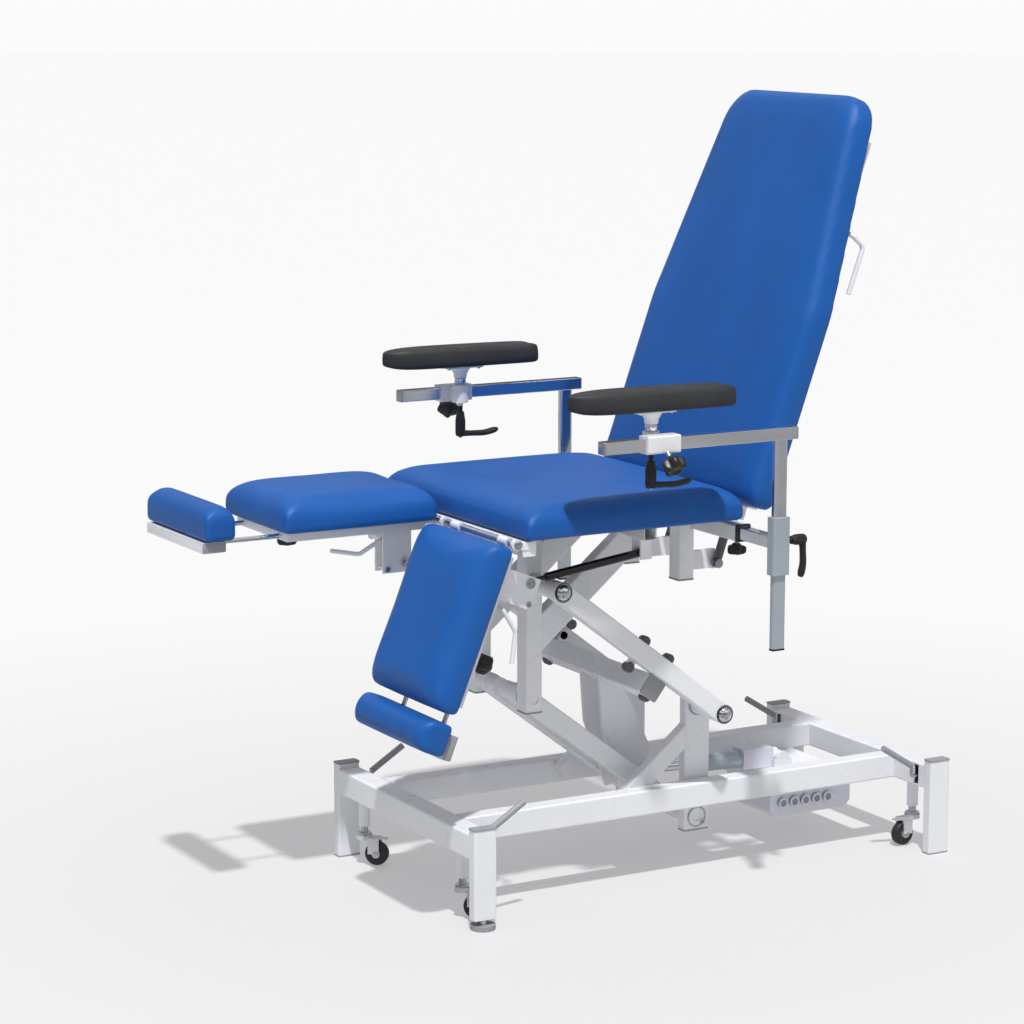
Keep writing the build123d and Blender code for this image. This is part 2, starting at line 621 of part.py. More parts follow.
# ---------------------------------------------------------------- armrests, modelled on the far side
def mirrored(side, pieces):
    return pieces if side == "far" else [piece.mirror(Plane.XZ) for piece in pieces]


def arm_bar():
    """The bar that slides in the receiver, and the collar on its end that guides the mast."""
    bar = tube_y(150, 399, RECEIVER_X, RECEIVER_Z, 25, 25, 2.5, 2)
    collar = tube_z(*COLLAR_Z, RECEIVER_X, MAST_Y, 40, 26, 0, 5)
    collar += tube_y(399, MAST_Y - 12, RECEIVER_X, RECEIVER_Z, 25, 25, 0, 2)
    collar -= tube_z(COLLAR_Z[0] - 1, COLLAR_Z[1] + 1, RECEIVER_X, MAST_Y,
                     MAST_X + 2 * RUN, MAST_WIDE + 2 * RUN, 0, 5)
    return [bar, collar]


def arm_mast():
    """The oval mast and the level tube on top."""
    mast = tube_z(MAST_LOW - CAP, ARM_TUBE_Z - ARM_TUBE / 2, RECEIVER_X, MAST_Y, MAST_X, MAST_WIDE, 0, 5)
    level = tube_x(*ARM_TUBE_X, MAST_Y, ARM_TUBE_Z, ARM_TUBE, ARM_TUBE, 0, 2)
    return [mast, level]


def arm_carriage():
    """The sleeve on the level tube and the boss that holds the pad's pin."""
    x0, x1 = CARRIAGE_X
    sleeve = tube_x(x0, x1, MAST_Y, ARM_TUBE_Z, 35, 35, 0, 4)
    x = (x0 + x1) / 2
    boss = rod_z(ARM_TUBE_Z - 18, ARM_TUBE_Z + 20, x, PAD_PIN_Y, 17)
    boss += block(x - 17, x + 17, PAD_PIN_Y, MAST_Y - 10, ARM_TUBE_Z - 14, ARM_TUBE_Z + 14)
    body = sleeve + boss
    body -= tube_x(x0 - 1, x1 + 1, MAST_Y, ARM_TUBE_Z, ARM_TUBE + 0.3, ARM_TUBE + 0.3, 0, 2)
    return [body - rod_z(900, 1000, x, PAD_PIN_Y, 6 + RUN)]


PAD_PIN_X = (CARRIAGE_X[0] + CARRIAGE_X[1]) / 2


def arm_pad():
    """The moulded arm pad on its turning pin."""
    x0, x1 = PAD_X
    outline = Pos((x0 + x1) / 2, PAD_PIN_Y) * RectangleRounded(x1 - x0, 90, 30)
    pad = Pos(0, 0, PAD_LOW) * soft_block(outline, PAD_HIGH - PAD_LOW, 8)
    pin = rod_z(ARM_TUBE_Z - 22, PAD_LOW - 10, PAD_PIN_X, PAD_PIN_Y, 6)
    pin += rod_z(ARM_TUBE_Z + 20.5, ARM_TUBE_Z + 34, PAD_PIN_X, PAD_PIN_Y, 12)
    pin += rod_z(PAD_LOW - 14, PAD_LOW, PAD_PIN_X, PAD_PIN_Y, 16)
    return [pad + pin]


def mast_lever():
    """The clamping lever on the collar's head side, hanging down."""
    return [Pos(RECEIVER_X + 20.3, MAST_Y, 739) * Rot(0, 90, 0) * clamp_lever(78, 38)]


def pad_lever():
    """The clamping lever under the boss, with its handle towards the head end."""
    return [Pos(PAD_PIN_X, PAD_PIN_Y, ARM_TUBE_Z - 22.5) * Rot(180, 0, 0) * clamp_lever(92, 64)]


def carriage_knob():
    """The star knob that locks the sleeve on its tube, outside and slanted down."""
    return [Pos(PAD_PIN_X + 8, MAST_Y + 12.4, ARM_TUBE_Z - 12.4) * Rot(-135, 0, 0) *
            Pos(0, 0, 5.8) * star_knob(24, 44)]


# ---------------------------------------------------------------- pedals and castors
def pedal_shaft(end):
    """A shaft along an end rail, with a cam over each castor and a gripped pedal at each side."""
    half = HALF_W - LEG_Y - 4
    shaft = rod_y(-half, half, end * RAIL_X, PEDAL_Z, 5)
    inner = end * (HALF_L - LEG_X)
    for side in (-1, 1):
        y = side * PEDAL_Y
        shaft += rod_y(side * CASTOR_Y - 8, side * CASTOR_Y + 8, end * (RAIL_X - 1.5), PEDAL_Z + 1, 7)
        knee = inner - end * 13
        points = [(end * RAIL_X, y, PEDAL_Z), (knee, y, PEDAL_Z), (knee, y, PEDAL_Z + 24),
                  (inner - end * 34, y, PEDAL_Z + 37)]
        shaft += bent_rod(points, [7, 7], 4)
        grip = slanted(inner - end * 14, PEDAL_Z + 24.6, inner - end * 89, PEDAL_Z + 71, y, 13, 13, 0, 6)
        shaft += grip
    return [shaft]


def castor_stems():
    """Four sliding stems in the end rails' guides, each with a flange over its fork."""
    pieces = []
    for end in (-1, 1):
        for side in (-1, 1):
            x, y = end * RAIL_X, side * CASTOR_Y
            pieces.append(rod_z(66, 149, x, y, STEM_R) + rod_z(66, 70, x, y, 15))
    return pieces


def castor_fork(end, side, turn):
    """The swivel fork: a crown, two cheeks, the wheel's axle and a brake tab."""
    crown = rod_z(56, 65.5, 0, 0, 17) + block(2, 34, -15, 15, 56, 60)
    for y0, y1 in both(11, 14):
        crown += block(10, 34, y0, y1, WHEEL_Z, 58) + rod_y(y0, y1, WHEEL_TRAIL, WHEEL_Z, 8)
    crown += rod_y(-14, 14, WHEEL_TRAIL, WHEEL_Z, 4)
    crown += block(30, 50, -7, 7, 57, 60)
    return [Pos(end * RAIL_X, side * CASTOR_Y, 0) * Rot(0, 0, turn) * crown]


def castor_wheel(end, side, turn):
    wheel = rod_y(-9, 9, WHEEL_TRAIL, WHEEL_Z, WHEEL_R)
    wheel = fillet(wheel.edges(), 4)
    wheel += rod_y(-10.5, 10.5, WHEEL_TRAIL, WHEEL_Z, 9)
    wheel -= rod_y(-11, 11, WHEEL_TRAIL, WHEEL_Z, 4 + RUN)
    return [Pos(end * RAIL_X, side * CASTOR_Y, 0) * Rot(0, 0, turn) * wheel]


# ---------------------------------------------------------------- writing the sub-parts
save("base_rails", *base_rails())
save("base_legs", *base_legs())
save("base_feet", *base_feet())
save("lift_posts", *lift_posts())
save("control_box", *control_box())
save("upper_arms", *upper_arms())
save("pivot_shafts", *pivot_shafts())
save("lower_arms", *lower_arms())
save("lift_motor", *lift_motor())
save("lift_rod", *lift_rod())
save("frame_columns", *frame_columns())
save("seat_frame", *seat_frame())
save("seat_pad", *seat_pad())
save("bar_knobs", *bar_knobs())
save("back_frame", *back_frame())
save("back_pad", *back_pad())
save("back_handle", *back_handle())
cylinders, rods = back_struts()
save("back_strut_cylinders", *cylinders)
save("back_strut_rods", *rods)
for side in ("near", "far"):
    save(f"leg_frame_{side}", *leg_frame(side))
    save(f"leg_pad_{side}", *leg_pad(side))
    save(f"leg_handle_{side}", *leg_handle(side))
    strut_rod, strut_cylinder = leg_strut(side)
    save(f"leg_strut_rod_{side}", *strut_rod)
    save(f"leg_strut_cylinder_{side}", *strut_cylinder)
    save(f"foot_slide_{side}", *foot_slide(side))
    save(f"foot_pad_{side}", *foot_pad(side))
    save(f"foot_knob_{side}", *foot_knob(side))
    for make in (arm_bar, arm_mast, arm_carriage, arm_pad, mast_lever, pad_lever, carriage_knob):
        save(f"{make.__name__}_{side}", *mirrored(side, make()))
for end_name, end in (("foot", -1), ("head", 1)):
    save(f"pedal_shaft_{end_name}", *pedal_shaft(end))
    for side in ("near", "far"):
        turn = CASTOR_TURN[f"{end_name}_{side}"]
        save(f"castor_fork_{end_name}_{side}", *castor_fork(end, SIDE[side], turn))
        save(f"castor_wheel_{end_name}_{side}", *castor_wheel(end, SIDE[side], turn))
save("castor_stems", *castor_stems())
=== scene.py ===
import json
import math

import bmesh
import bpy
from mathutils import Matrix, Vector


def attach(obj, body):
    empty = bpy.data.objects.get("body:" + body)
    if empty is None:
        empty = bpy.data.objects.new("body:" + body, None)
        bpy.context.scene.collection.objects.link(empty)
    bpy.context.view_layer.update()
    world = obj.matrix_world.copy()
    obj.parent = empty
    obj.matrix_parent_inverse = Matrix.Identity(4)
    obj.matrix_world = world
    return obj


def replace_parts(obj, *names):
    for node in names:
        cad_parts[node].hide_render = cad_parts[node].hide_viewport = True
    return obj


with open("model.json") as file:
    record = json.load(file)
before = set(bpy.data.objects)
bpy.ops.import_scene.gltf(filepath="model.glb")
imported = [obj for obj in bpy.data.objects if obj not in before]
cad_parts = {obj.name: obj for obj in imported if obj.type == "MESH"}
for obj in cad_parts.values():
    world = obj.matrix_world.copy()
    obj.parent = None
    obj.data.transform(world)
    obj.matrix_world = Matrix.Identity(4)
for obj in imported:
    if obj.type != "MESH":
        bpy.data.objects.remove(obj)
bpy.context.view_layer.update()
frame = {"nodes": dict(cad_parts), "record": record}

# The visual model of a three-section treatment chair. Lengths are millimetres about the middle of the floor
# frame, as in the CAD source, and place() and axes() turn them into the scene's metres.


scene = bpy.context.scene
scene.view_settings.view_transform = "Standard"
record = frame["record"]
BODY = {node: body for body, nodes in record["behaviour"]["bodies"].items() for node in nodes}

SIDE = {"near": -1, "far": 1}
BASE_X = 211.25                              # from the middle of the floor frame to the scene's origin

# floor frame and lift: pivots are (x, z)
ARM_ANGLE, ARM_LENGTH = math.radians(37.2), 484.0
ARM_COS, ARM_SIN = math.cos(ARM_ANGLE), math.sin(ARM_ANGLE)
BASE_PIVOT = (48.0, 349.0)
TOP_PIVOT = (BASE_PIVOT[0] - ARM_LENGTH * ARM_COS, BASE_PIVOT[1] + ARM_LENGTH * ARM_SIN)
LINK_DROP = 241.0                            # the lower arms' pivots below the upper arms'
POST_X, POST_FACE_Y = 48.0, 139.0            # the lift posts, and their outer faces
COLUMN_Y = 106.0                             # middle of the seat frame's columns
BEAM_AT, BEAM_BELOW, BEAM_END_Y = 170.0, 42.0, 216.0     # the cross beam along and under the upper arms
SHAFT_END_Y = 240.0

# seat, back and leg sections
BACK_HINGE, BACK_ANGLE = (122.0, 752.0), math.radians(70)
LEG_HINGE, LEG_MIDDLE_Y = (-474.0, 759.0), 152.0
LEG_DROP = {"near": math.radians(68), "far": 0.0}
FOOT_OUT = {"near": 0.0, "far": 86.0}
HALF_SEAT, HALF_LEG = 305.0, 149.0
CHANNEL_START = 389.0                        # from the leg hinge to the foot slide's channel, when it is in
STRUT_T = 78.0                               # middle of the leg gas spring, across the leg section

# armrests
RECEIVER = (52.0, 736.0)                     # the cross tube that holds both masts
MAST_Y, ARM_TUBE_Z = 418.0, 956.0
COLLAR_TOP = 0.672                           # of the mast's collar, in metres
PAD_PIN_X, PAD_PIN_Y = -228.0, 386.0
PAD_X, PAD_Z, PAD_HALF_Y = (-413.0, -50.0), (1018.0, 1062.0), 45.0

# castors: which end, which side, and how far each fork is turned, in degrees
CASTORS = {"foot_near": (-1, -1, -35), "foot_far": (-1, 1, -42),
           "head_near": (1, -1, 184), "head_far": (1, 1, 150)}
CASTOR_X, CASTOR_Y, WHEEL_TRAIL, WHEEL_Z = 551.5, 215.0, 27.0, 26.0
HUB_RADIUS, HUB_FACE = 12.5, 8.9             # the wheel's hub, and half its thickness


# ------------------------------------------------------------------ places
def place(x, y, z):
    """A point in the scene's metres."""
    return Vector((x + BASE_X, y, z)) / 1000


def axes(origin, x_dir, z_dir):
    """A matrix from local millimetres, with these local X and Z, to the scene's metres."""
    x_dir, z_dir = Vector(x_dir).normalized(), Vector(z_dir).normalized()
    y_dir = z_dir.cross(x_dir)
    m = Matrix((x_dir, y_dir, z_dir)).transposed().to_4x4()
    m.translation = Vector((origin[0] + BASE_X, origin[1], origin[2]))
    return Matrix.Scale(0.001, 4) @ m


def along(origin, direction):
    """Local +Z runs along the direction."""
    direction = Vector(direction).normalized()
    helper = Vector((0, 1, 0)) if abs(direction.y) < 0.9 else Vector((1, 0, 0))
    return axes(origin, helper.cross(direction), direction)


FLAT = axes((0, 0, 0), (1, 0, 0), (0, 0, 1))
BACK = axes((BACK_HINGE[0], 0, BACK_HINGE[1]), (math.cos(BACK_ANGLE), 0, math.sin(BACK_ANGLE)),
            (-math.sin(BACK_ANGLE), 0, math.cos(BACK_ANGLE)))


def leg_axes(side):
    """Local +X runs from the hinge towards the foot, and local Z is square to the leg pad."""
    drop = LEG_DROP[side]
    hinge = (LEG_HINGE[0], SIDE[side] * LEG_MIDDLE_Y, LEG_HINGE[1])
    return axes(hinge, (-math.cos(drop), 0, -math.sin(drop)), (-math.sin(drop), 0, math.cos(drop)))


# ------------------------------------------------------------------ materials
PATCH_SCALE, SCRATCH_SCALE = 7.0, 95.0


class Graph:
    """A short way to wire a node material."""

    def __init__(self, name):
        self.material = bpy.data.materials.new(name)
        self.material.use_nodes = True
        self.nodes, self.links = self.material.node_tree.nodes, self.material.node_tree.links
        self.shader = self.nodes["Principled BSDF"]
        self.where = self.nodes.new("ShaderNodeTexCoord").outputs["Object"]

    def add(self, kind, **values):
        node = self.nodes.new("ShaderNode" + kind)
        for key, value in values.items():
            if key in node.inputs:
                node.inputs[key].default_value = value
            else:
                setattr(node, key, value)
        return node

    def noise(self, scale, detail=3.0, stretch=None):
        node = self.add("TexNoise", Scale=scale, Detail=detail)
        source = self.where
        if stretch:
            mapping = self.add("Mapping", Scale=stretch)
            self.links.new(source, mapping.inputs["Vector"])
            source = mapping.outputs["Vector"]
        self.links.new(source, node.inputs["Vector"])
        return node.outputs["Fac"]

    def ramp(self, source, stops):
        node = self.add("ValToRGB")
        elements = node.color_ramp.elements
        while len(elements) < len(stops):
            elements.new(0.5)
        for element, (at, colour) in zip(elements, stops):
            element.position = at
            element.color = (*colour, 1.0)
        self.links.new(source, node.inputs["Fac"])
        return node.outputs["Color"]

    def spread(self, source, low, high, start=0.3, end=0.7):
        node = self.add("MapRange", **{"From Min": start, "From Max": end, "To Min": low, "To Max": high})
        self.links.new(source, node.inputs["Value"])
        return node.outputs["Result"]

    def mix(self, factor, first, second):
        node = self.nodes.new("ShaderNodeMix")
        node.data_type = "RGBA"
        sockets = [s for s in node.inputs if s.type == "RGBA"]
        self.links.new(factor, node.inputs["Factor"])
        for socket, value in zip(sockets, (first, second)):
            if isinstance(value, tuple):
                socket.default_value = (*value, 1.0)
            else:
                self.links.new(value, socket)
        return next(s for s in node.outputs if s.type == "RGBA")

    def bump(self, source, distance, strength=1.0, below=None):
        node = self.add("Bump", Distance=distance, Strength=strength)
        self.links.new(source, node.inputs["Height"])
        if below:
            self.links.new(below, node.inputs["Normal"])
        return node.outputs["Normal"]


def shade(colour, factor):
    return tuple(min(1.0, c * factor) for c in colour)


def coated_graph(name, colour, rough, metal=0.0, tint=0.05, peel=260.0, peel_depth=0.00008, scuff=0.12,
                 stretch=(1.0, 3.5, 1.0), coat=0.0, specular=0.5):
    """Paint, moulded plastic, rubber or metal: uneven colour, fine skin, dulled patches and scuffs."""
    g = Graph(name)
    tints = [(0.32, shade(colour, 1 - tint)), (0.68, shade(colour, 1 + tint * 0.6))]
    base = g.ramp(g.noise(PATCH_SCALE, 4.0), tints)
    marks = g.spread(g.noise(SCRATCH_SCALE, 6.0, stretch), 0.0, scuff, 0.60, 0.74)
    worn = shade(colour, 0.72) if sum(colour) > 0.6 else shade(colour, 2.2)
    g.links.new(g.mix(marks, base, worn), g.shader.inputs["Base Color"])
    dulled = g.spread(g.noise(PATCH_SCALE * 3.1, 4.0), rough * 0.85, rough * 1.22)
    g.links.new(dulled, g.shader.inputs["Roughness"])
    g.links.new(g.bump(g.noise(peel, 2.0), peel_depth, 0.6), g.shader.inputs["Normal"])
    g.shader.inputs["Metallic"].default_value = metal
    g.shader.inputs["Coat Weight"].default_value = coat
    g.shader.inputs["Coat Roughness"].default_value = 0.12
    g.shader.inputs["Specular IOR Level"].default_value = specular
    return g


def coated(name, colour, rough, **values):
    return coated_graph(name, colour, rough, **values).material


def vinyl(name, colour, rough):
    """Upholstery vinyl: leather cells with painted shade in their grooves, pore noise, long soft creases and
    shinier rubbed patches.
    """
    g = Graph(name)
    cells = g.add("TexVoronoi", Scale=720.0, feature="DISTANCE_TO_EDGE")
    g.links.new(g.where, cells.inputs["Vector"])
    edge = g.spread(cells.outputs["Distance"], 0.0, 1.0, 0.0, 0.22)
    grain = g.bump(edge, 0.00010, 0.75, g.bump(g.noise(38.0, 4.0), 0.0011, 0.35))
    base = g.ramp(g.noise(5.0, 4.0), [(0.3, shade(colour, 0.93)), (0.7, shade(colour, 1.07))])
    # painted shade: the grooves between the grain's cells are darkened, as if shade fell in them
    painted_groove_shade = g.spread(cells.outputs["Distance"], 0.16, 0.0, 0.0, 0.12)
    g.links.new(g.mix(painted_groove_shade, base, shade(colour, 0.62)), g.shader.inputs["Base Color"])
    g.links.new(g.spread(g.noise(9.0, 5.0), rough * 0.86, rough * 1.16), g.shader.inputs["Roughness"])
    g.links.new(grain, g.shader.inputs["Normal"])
    g.shader.inputs["Specular IOR Level"].default_value = 0.36
    g.shader.inputs["Sheen Weight"].default_value = 0.04
    g.shader.inputs["Sheen Roughness"].default_value = 0.4
    return g.material


CHROME_COLOUR, SATIN_COLOUR = (0.86, 0.87, 0.90), (0.46, 0.52, 0.57)
CHROME_ROUGH, SATIN_ROUGH, SATIN_METAL = 0.10, 0.42, 0.45

WHITE = coated("powder_coat_white", (0.79, 0.80, 0.83), 0.30, tint=0.025, coat=0.15)
GREY = coated("cap_grey", (0.30, 0.31, 0.33), 0.48, tint=0.07)
LAVENDER = coated("housing_lavender", (0.72, 0.72, 0.81), 0.42, tint=0.05, peel=420.0)
CHROME = coated("chrome", CHROME_COLOUR, CHROME_ROUGH, metal=1.0, tint=0.03, peel=30.0, peel_depth=0.00003,
                scuff=0.05)
ZINC = coated("zinc", (0.62, 0.64, 0.68), 0.28, metal=1.0, tint=0.06, scuff=0.2)
DARK_ZINC = coated("dark_zinc", (0.16, 0.165, 0.175), 0.38, metal=0.7, tint=0.08, scuff=0.2)
SATIN = coated("satin_aluminium", SATIN_COLOUR, SATIN_ROUGH, metal=SATIN_METAL, tint=0.04,
               stretch=(8.0, 8.0, 0.6))
BLACK = coated("plastic_black", (0.018, 0.018, 0.020), 0.36, tint=0.2, scuff=0.25)
GLOSS_BLACK = coated("spring_black", (0.012, 0.012, 0.014), 0.20, tint=0.2, scuff=0.15, coat=0.3)
FOAM = coated("arm_foam", (0.024, 0.025, 0.027), 0.60, tint=0.2, peel=520.0, peel_depth=0.00016, scuff=0.3)
RUBBER = coated("wheel_rubber", (0.022, 0.022, 0.023), 0.55, tint=0.2, scuff=0.35)
CASTOR = coated("castor_plate", (0.80, 0.81, 0.84), 0.16, metal=0.75, tint=0.04)
UNDERCLOTH = coated("underside_cloth", (0.030, 0.030, 0.033), 0.85, tint=0.2, peel=900.0, peel_depth=0.0002,
                    stretch=(9.0, 9.0, 9.0), specular=0.2)
BLUE = vinyl("vinyl_blue_pad", (0.004, 0.094, 0.375), rough=0.46)


def mast_metal():
    """Chrome above the mast's collar, and satin from the collar down."""
    g = coated_graph("mast_metal", CHROME_COLOUR, CHROME_ROUGH, metal=1.0, tint=0.03, peel=30.0,
                     peel_depth=0.00003)
    split = g.add("SeparateXYZ")
    g.links.new(g.where, split.inputs["Vector"])

    def by_height(below, above):
        return g.spread(split.outputs["Z"], below, above, COLLAR_TOP - 0.0005, COLLAR_TOP + 0.0005)

    chrome_base = g.shader.inputs["Base Color"].links[0].from_socket
    g.links.new(g.mix(by_height(0.0, 1.0), SATIN_COLOUR, chrome_base), g.shader.inputs["Base Color"])
    g.links.new(by_height(SATIN_ROUGH, CHROME_ROUGH), g.shader.inputs["Roughness"])
    g.links.new(by_height(SATIN_METAL, 1.0), g.shader.inputs["Metallic"])
    return g.material


MAST = mast_metal()

# the finish for each slot of the record, and the slot each finish belongs to
FINISH = {"white_paint": WHITE, "grey_plastic": GREY, "lavender_plastic": LAVENDER, "chrome": CHROME,
          "vinyl_blue": BLUE, "arm_foam": FOAM, "black_plastic": BLACK, "black_paint": GLOSS_BLACK,
          "wheel_rubber": RUBBER, "castor_white": CASTOR}
SLOT_OF = {material: slot for slot, material in FINISH.items()}
SLOT_OF.update({ZINC: "chrome", DARK_ZINC: "chrome", SATIN: "chrome", UNDERCLOTH: "black_plastic"})


# ------------------------------------------------------------------ meshes
CORNER_STEPS = 5         # points on each rounded corner of a plate


def new_object(name, bm):
    """Turns a bmesh into an object of the scene."""
    mesh = bpy.data.meshes.new(name)
    bm.to_mesh(mesh)
    bm.free()
    obj = bpy.data.objects.new(name, mesh)
    scene.collection.objects.link(obj)
    return obj


def piece(name, bm, matrix, material, body, smooth=True, sharp=35):
    """Makes a mesh piece from local millimetres, with its finish and its body."""
    bmesh.ops.transform(bm, matrix=matrix, verts=bm.verts)
    bmesh.ops.recalc_face_normals(bm, faces=bm.faces)
    obj = new_object(name, bm)
    mesh = obj.data
    mesh.materials.append(material)
    if smooth:
        mesh.polygons.foreach_set("use_smooth", [True] * len(mesh.polygons))
        mesh.set_sharp_from_angle(angle=math.radians(sharp))
    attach(obj, body)
    return obj


def subdivide(obj, levels):
    finer = obj.modifiers.new("Subdivision", "SUBSURF")
    finer.levels = finer.render_levels = levels


def bridge_rings(rings, closed=True):
    """A skin over equal rings of points, with its ends capped, or joined to each other when not closed."""
    bm = bmesh.new()
    made = [[bm.verts.new(p) for p in ring] for ring in rings]
    count = len(made[0])
    for low, high in zip(made, made[1:] if closed else made[1:] + made[:1]):
        for i in range(count):
            j = (i + 1) % count
            bm.faces.new((low[i], low[j], high[j], high[i]))
    if closed:
        bm.faces.new(list(reversed(made[0])))
        bm.faces.new(made[-1])
    return bm


def turned(profile, segments=32, lobes=0, closed=True):
    """A body turned about local Z from (radius, height) or (radius, height, lobe depth) rows."""
    rings = []
    for row in profile:
        radius, height, depth = (*row, 0.0)[:3]          # a row without a lobe depth has none
        ring = []
        for i in range(segments):
            a = 2 * math.pi * i / segments
            r = max(radius * (1 - depth * (1 - math.cos(lobes * a)) / 2), 0.02)
            ring.append((r * math.cos(a), r * math.sin(a), height))
        rings.append(ring)
    return bridge_rings(rings, closed)


def rounded_ring(points, radii, inset, steps, soften=-1.0, limit=math.inf):
    """A rounded polygon moved inward by the inset, from points that run anticlockwise.

    Its radii change by soften times the inset, and stay between 1.5 and the limit."""
    count = len(points)
    lines = []
    for i in range(count):
        a, b = Vector(points[i]), Vector(points[(i + 1) % count])
        d = (b - a).normalized()
        lines.append((a + Vector((-d.y, d.x)) * inset, d))
    out = []
    for i in range(count):
        (p, d0), (q, d1) = lines[i - 1], lines[i]
        cross = d0.x * d1.y - d0.y * d1.x
        t = ((q.x - p.x) * d1.y - (q.y - p.y) * d1.x) / cross
        corner = p + d0 * t
        r = min(max(radii[i] + soften * inset, 1.5), limit)
        turn = math.acos(max(-1.0, min(1.0, d0.dot(d1))))
        back = r * math.tan(turn / 2)
        start = corner - d0 * back
        centre = start + Vector((-d0.y, d0.x)) * r
        for k in range(steps + 1):
            a = turn * k / steps
            arm = Vector((d0.y, -d0.x)) * r
            out.append(centre + Vector((arm.x * math.cos(a) - arm.y * math.sin(a),
                                        arm.x * math.sin(a) + arm.y * math.cos(a))))
    return out


def ring_at(z, points, radii, *values):
    """A rounded ring lifted to this height; the values are as for rounded_ring."""
    return [(p.x, p.y, z) for p in rounded_ring(points, radii, *values)]


def box_points(x0, x1, y0, y1):
    return [(x0, y0), (x1, y0), (x1, y1), (x0, y1)]


def square(half_x, half_y):
    return box_points(-half_x, half_x, -half_y, half_y)


def slab(points, radius, low, high, edge=1.0, shrink=0.0):
    """A plate or cap with a rounded outline and softly rolled edges."""
    radii = radius if isinstance(radius, list) else [radius] * len(points)
    rolled = ((edge, low), (edge * 0.3, low + edge * 0.3), (0, low + edge), (0, high - edge),
              (edge * 0.3, high - edge * 0.3), (edge, high))
    return bridge_rings([ring_at(z, points, radii, shrink + inset, CORNER_STEPS) for inset, z in rolled])


def hollow_slab(points, radius, hole, hole_radius, low, high, edge=0.8):
    """A collar: a slab with a hole through it."""
    outer = ((edge, low), (0, low + edge), (0, high - edge), (edge, high))
    inner = ((-edge, high), (0, high - edge), (0, low + edge), (-edge, low))
    rings = [ring_at(z, points, [radius] * len(points), inset, CORNER_STEPS) for inset, z in outer]
    rings += [ring_at(z, hole, [hole_radius] * len(hole), inset, CORNER_STEPS) for inset, z in inner]
    return bridge_rings(rings, closed=False)


def swept(points, sizes, segments=16, samples=6):
    """A rounded bar along a smooth line of points, each with its width and thickness."""
    def spline(rows, t):
        i = min(int(t), len(rows) - 2)
        f = t - i
        p = [rows[max(0, i - 1)], rows[i], rows[i + 1], rows[min(len(rows) - 1, i + 2)]]
        return tuple(0.5 * (2 * b + (c - a) * f + (2 * a - 5 * b + 4 * c - d) * f * f
                            + (3 * b - a - 3 * c + d) * f ** 3) for a, b, c, d in zip(*p))
    steps = samples * (len(points) - 1)
    line = [Vector(spline(points, (len(points) - 1) * k / steps)) for k in range(steps + 1)]
    wide = [spline(sizes, (len(points) - 1) * k / steps) for k in range(steps + 1)]
    rings = []
    for k, (centre, (w, h)) in enumerate(zip(line, wide)):
        ahead = (line[min(k + 1, steps)] - line[max(k - 1, 0)]).normalized()
        across = Vector((0, 1, 0)) if abs(ahead.y) < 0.9 else Vector((1, 0, 0))
        upward = ahead.cross(across).normalized()
        across = upward.cross(ahead)
        rings.append([centre + across * (w / 2 * math.cos(a)) + upward * (h / 2 * math.sin(a))
                      for a in (2 * math.pi * i / segments for i in range(segments))])
    return bridge_rings(rings)


# ------------------------------------------------------------------ stage
def add_camera(azimuth, elevation, roll):
    """The camera, looking down from this azimuth and elevation, with a slight roll."""
    backward = Vector((math.sin(azimuth) * math.cos(elevation), -math.cos(azimuth) * math.cos(elevation),
                       math.sin(elevation)))
    level = Vector((math.cos(azimuth), math.sin(azimuth), 0))
    upright = backward.cross(level)
    right = math.cos(roll) * level + math.sin(roll) * upright
    up = -math.sin(roll) * level + math.cos(roll) * upright
    camera = bpy.data.objects.new("camera", bpy.data.cameras.new("camera"))
    camera.data.lens, camera.data.sensor_width = 109.76, 36.0
    camera.data.clip_end = 200.0
    camera.matrix_world = Matrix((right, up, backward)).transposed().to_4x4()
    camera.location = place(-3410.8, -5454.2, 1869.8)
    scene.collection.objects.link(camera)
    scene.camera = camera


def add_sun():
    """A strong sun, high and a little to the front."""
    sun = bpy.data.objects.new("sun", bpy.data.lights.new("sun", "SUN"))
    sun.data.energy, sun.data.angle = 3.1, math.radians(2.2)
    sun.rotation_euler = Vector((-0.2, -0.4, 1.0)).to_track_quat("Z", "Y").to_euler()
    scene.collection.objects.link(sun)


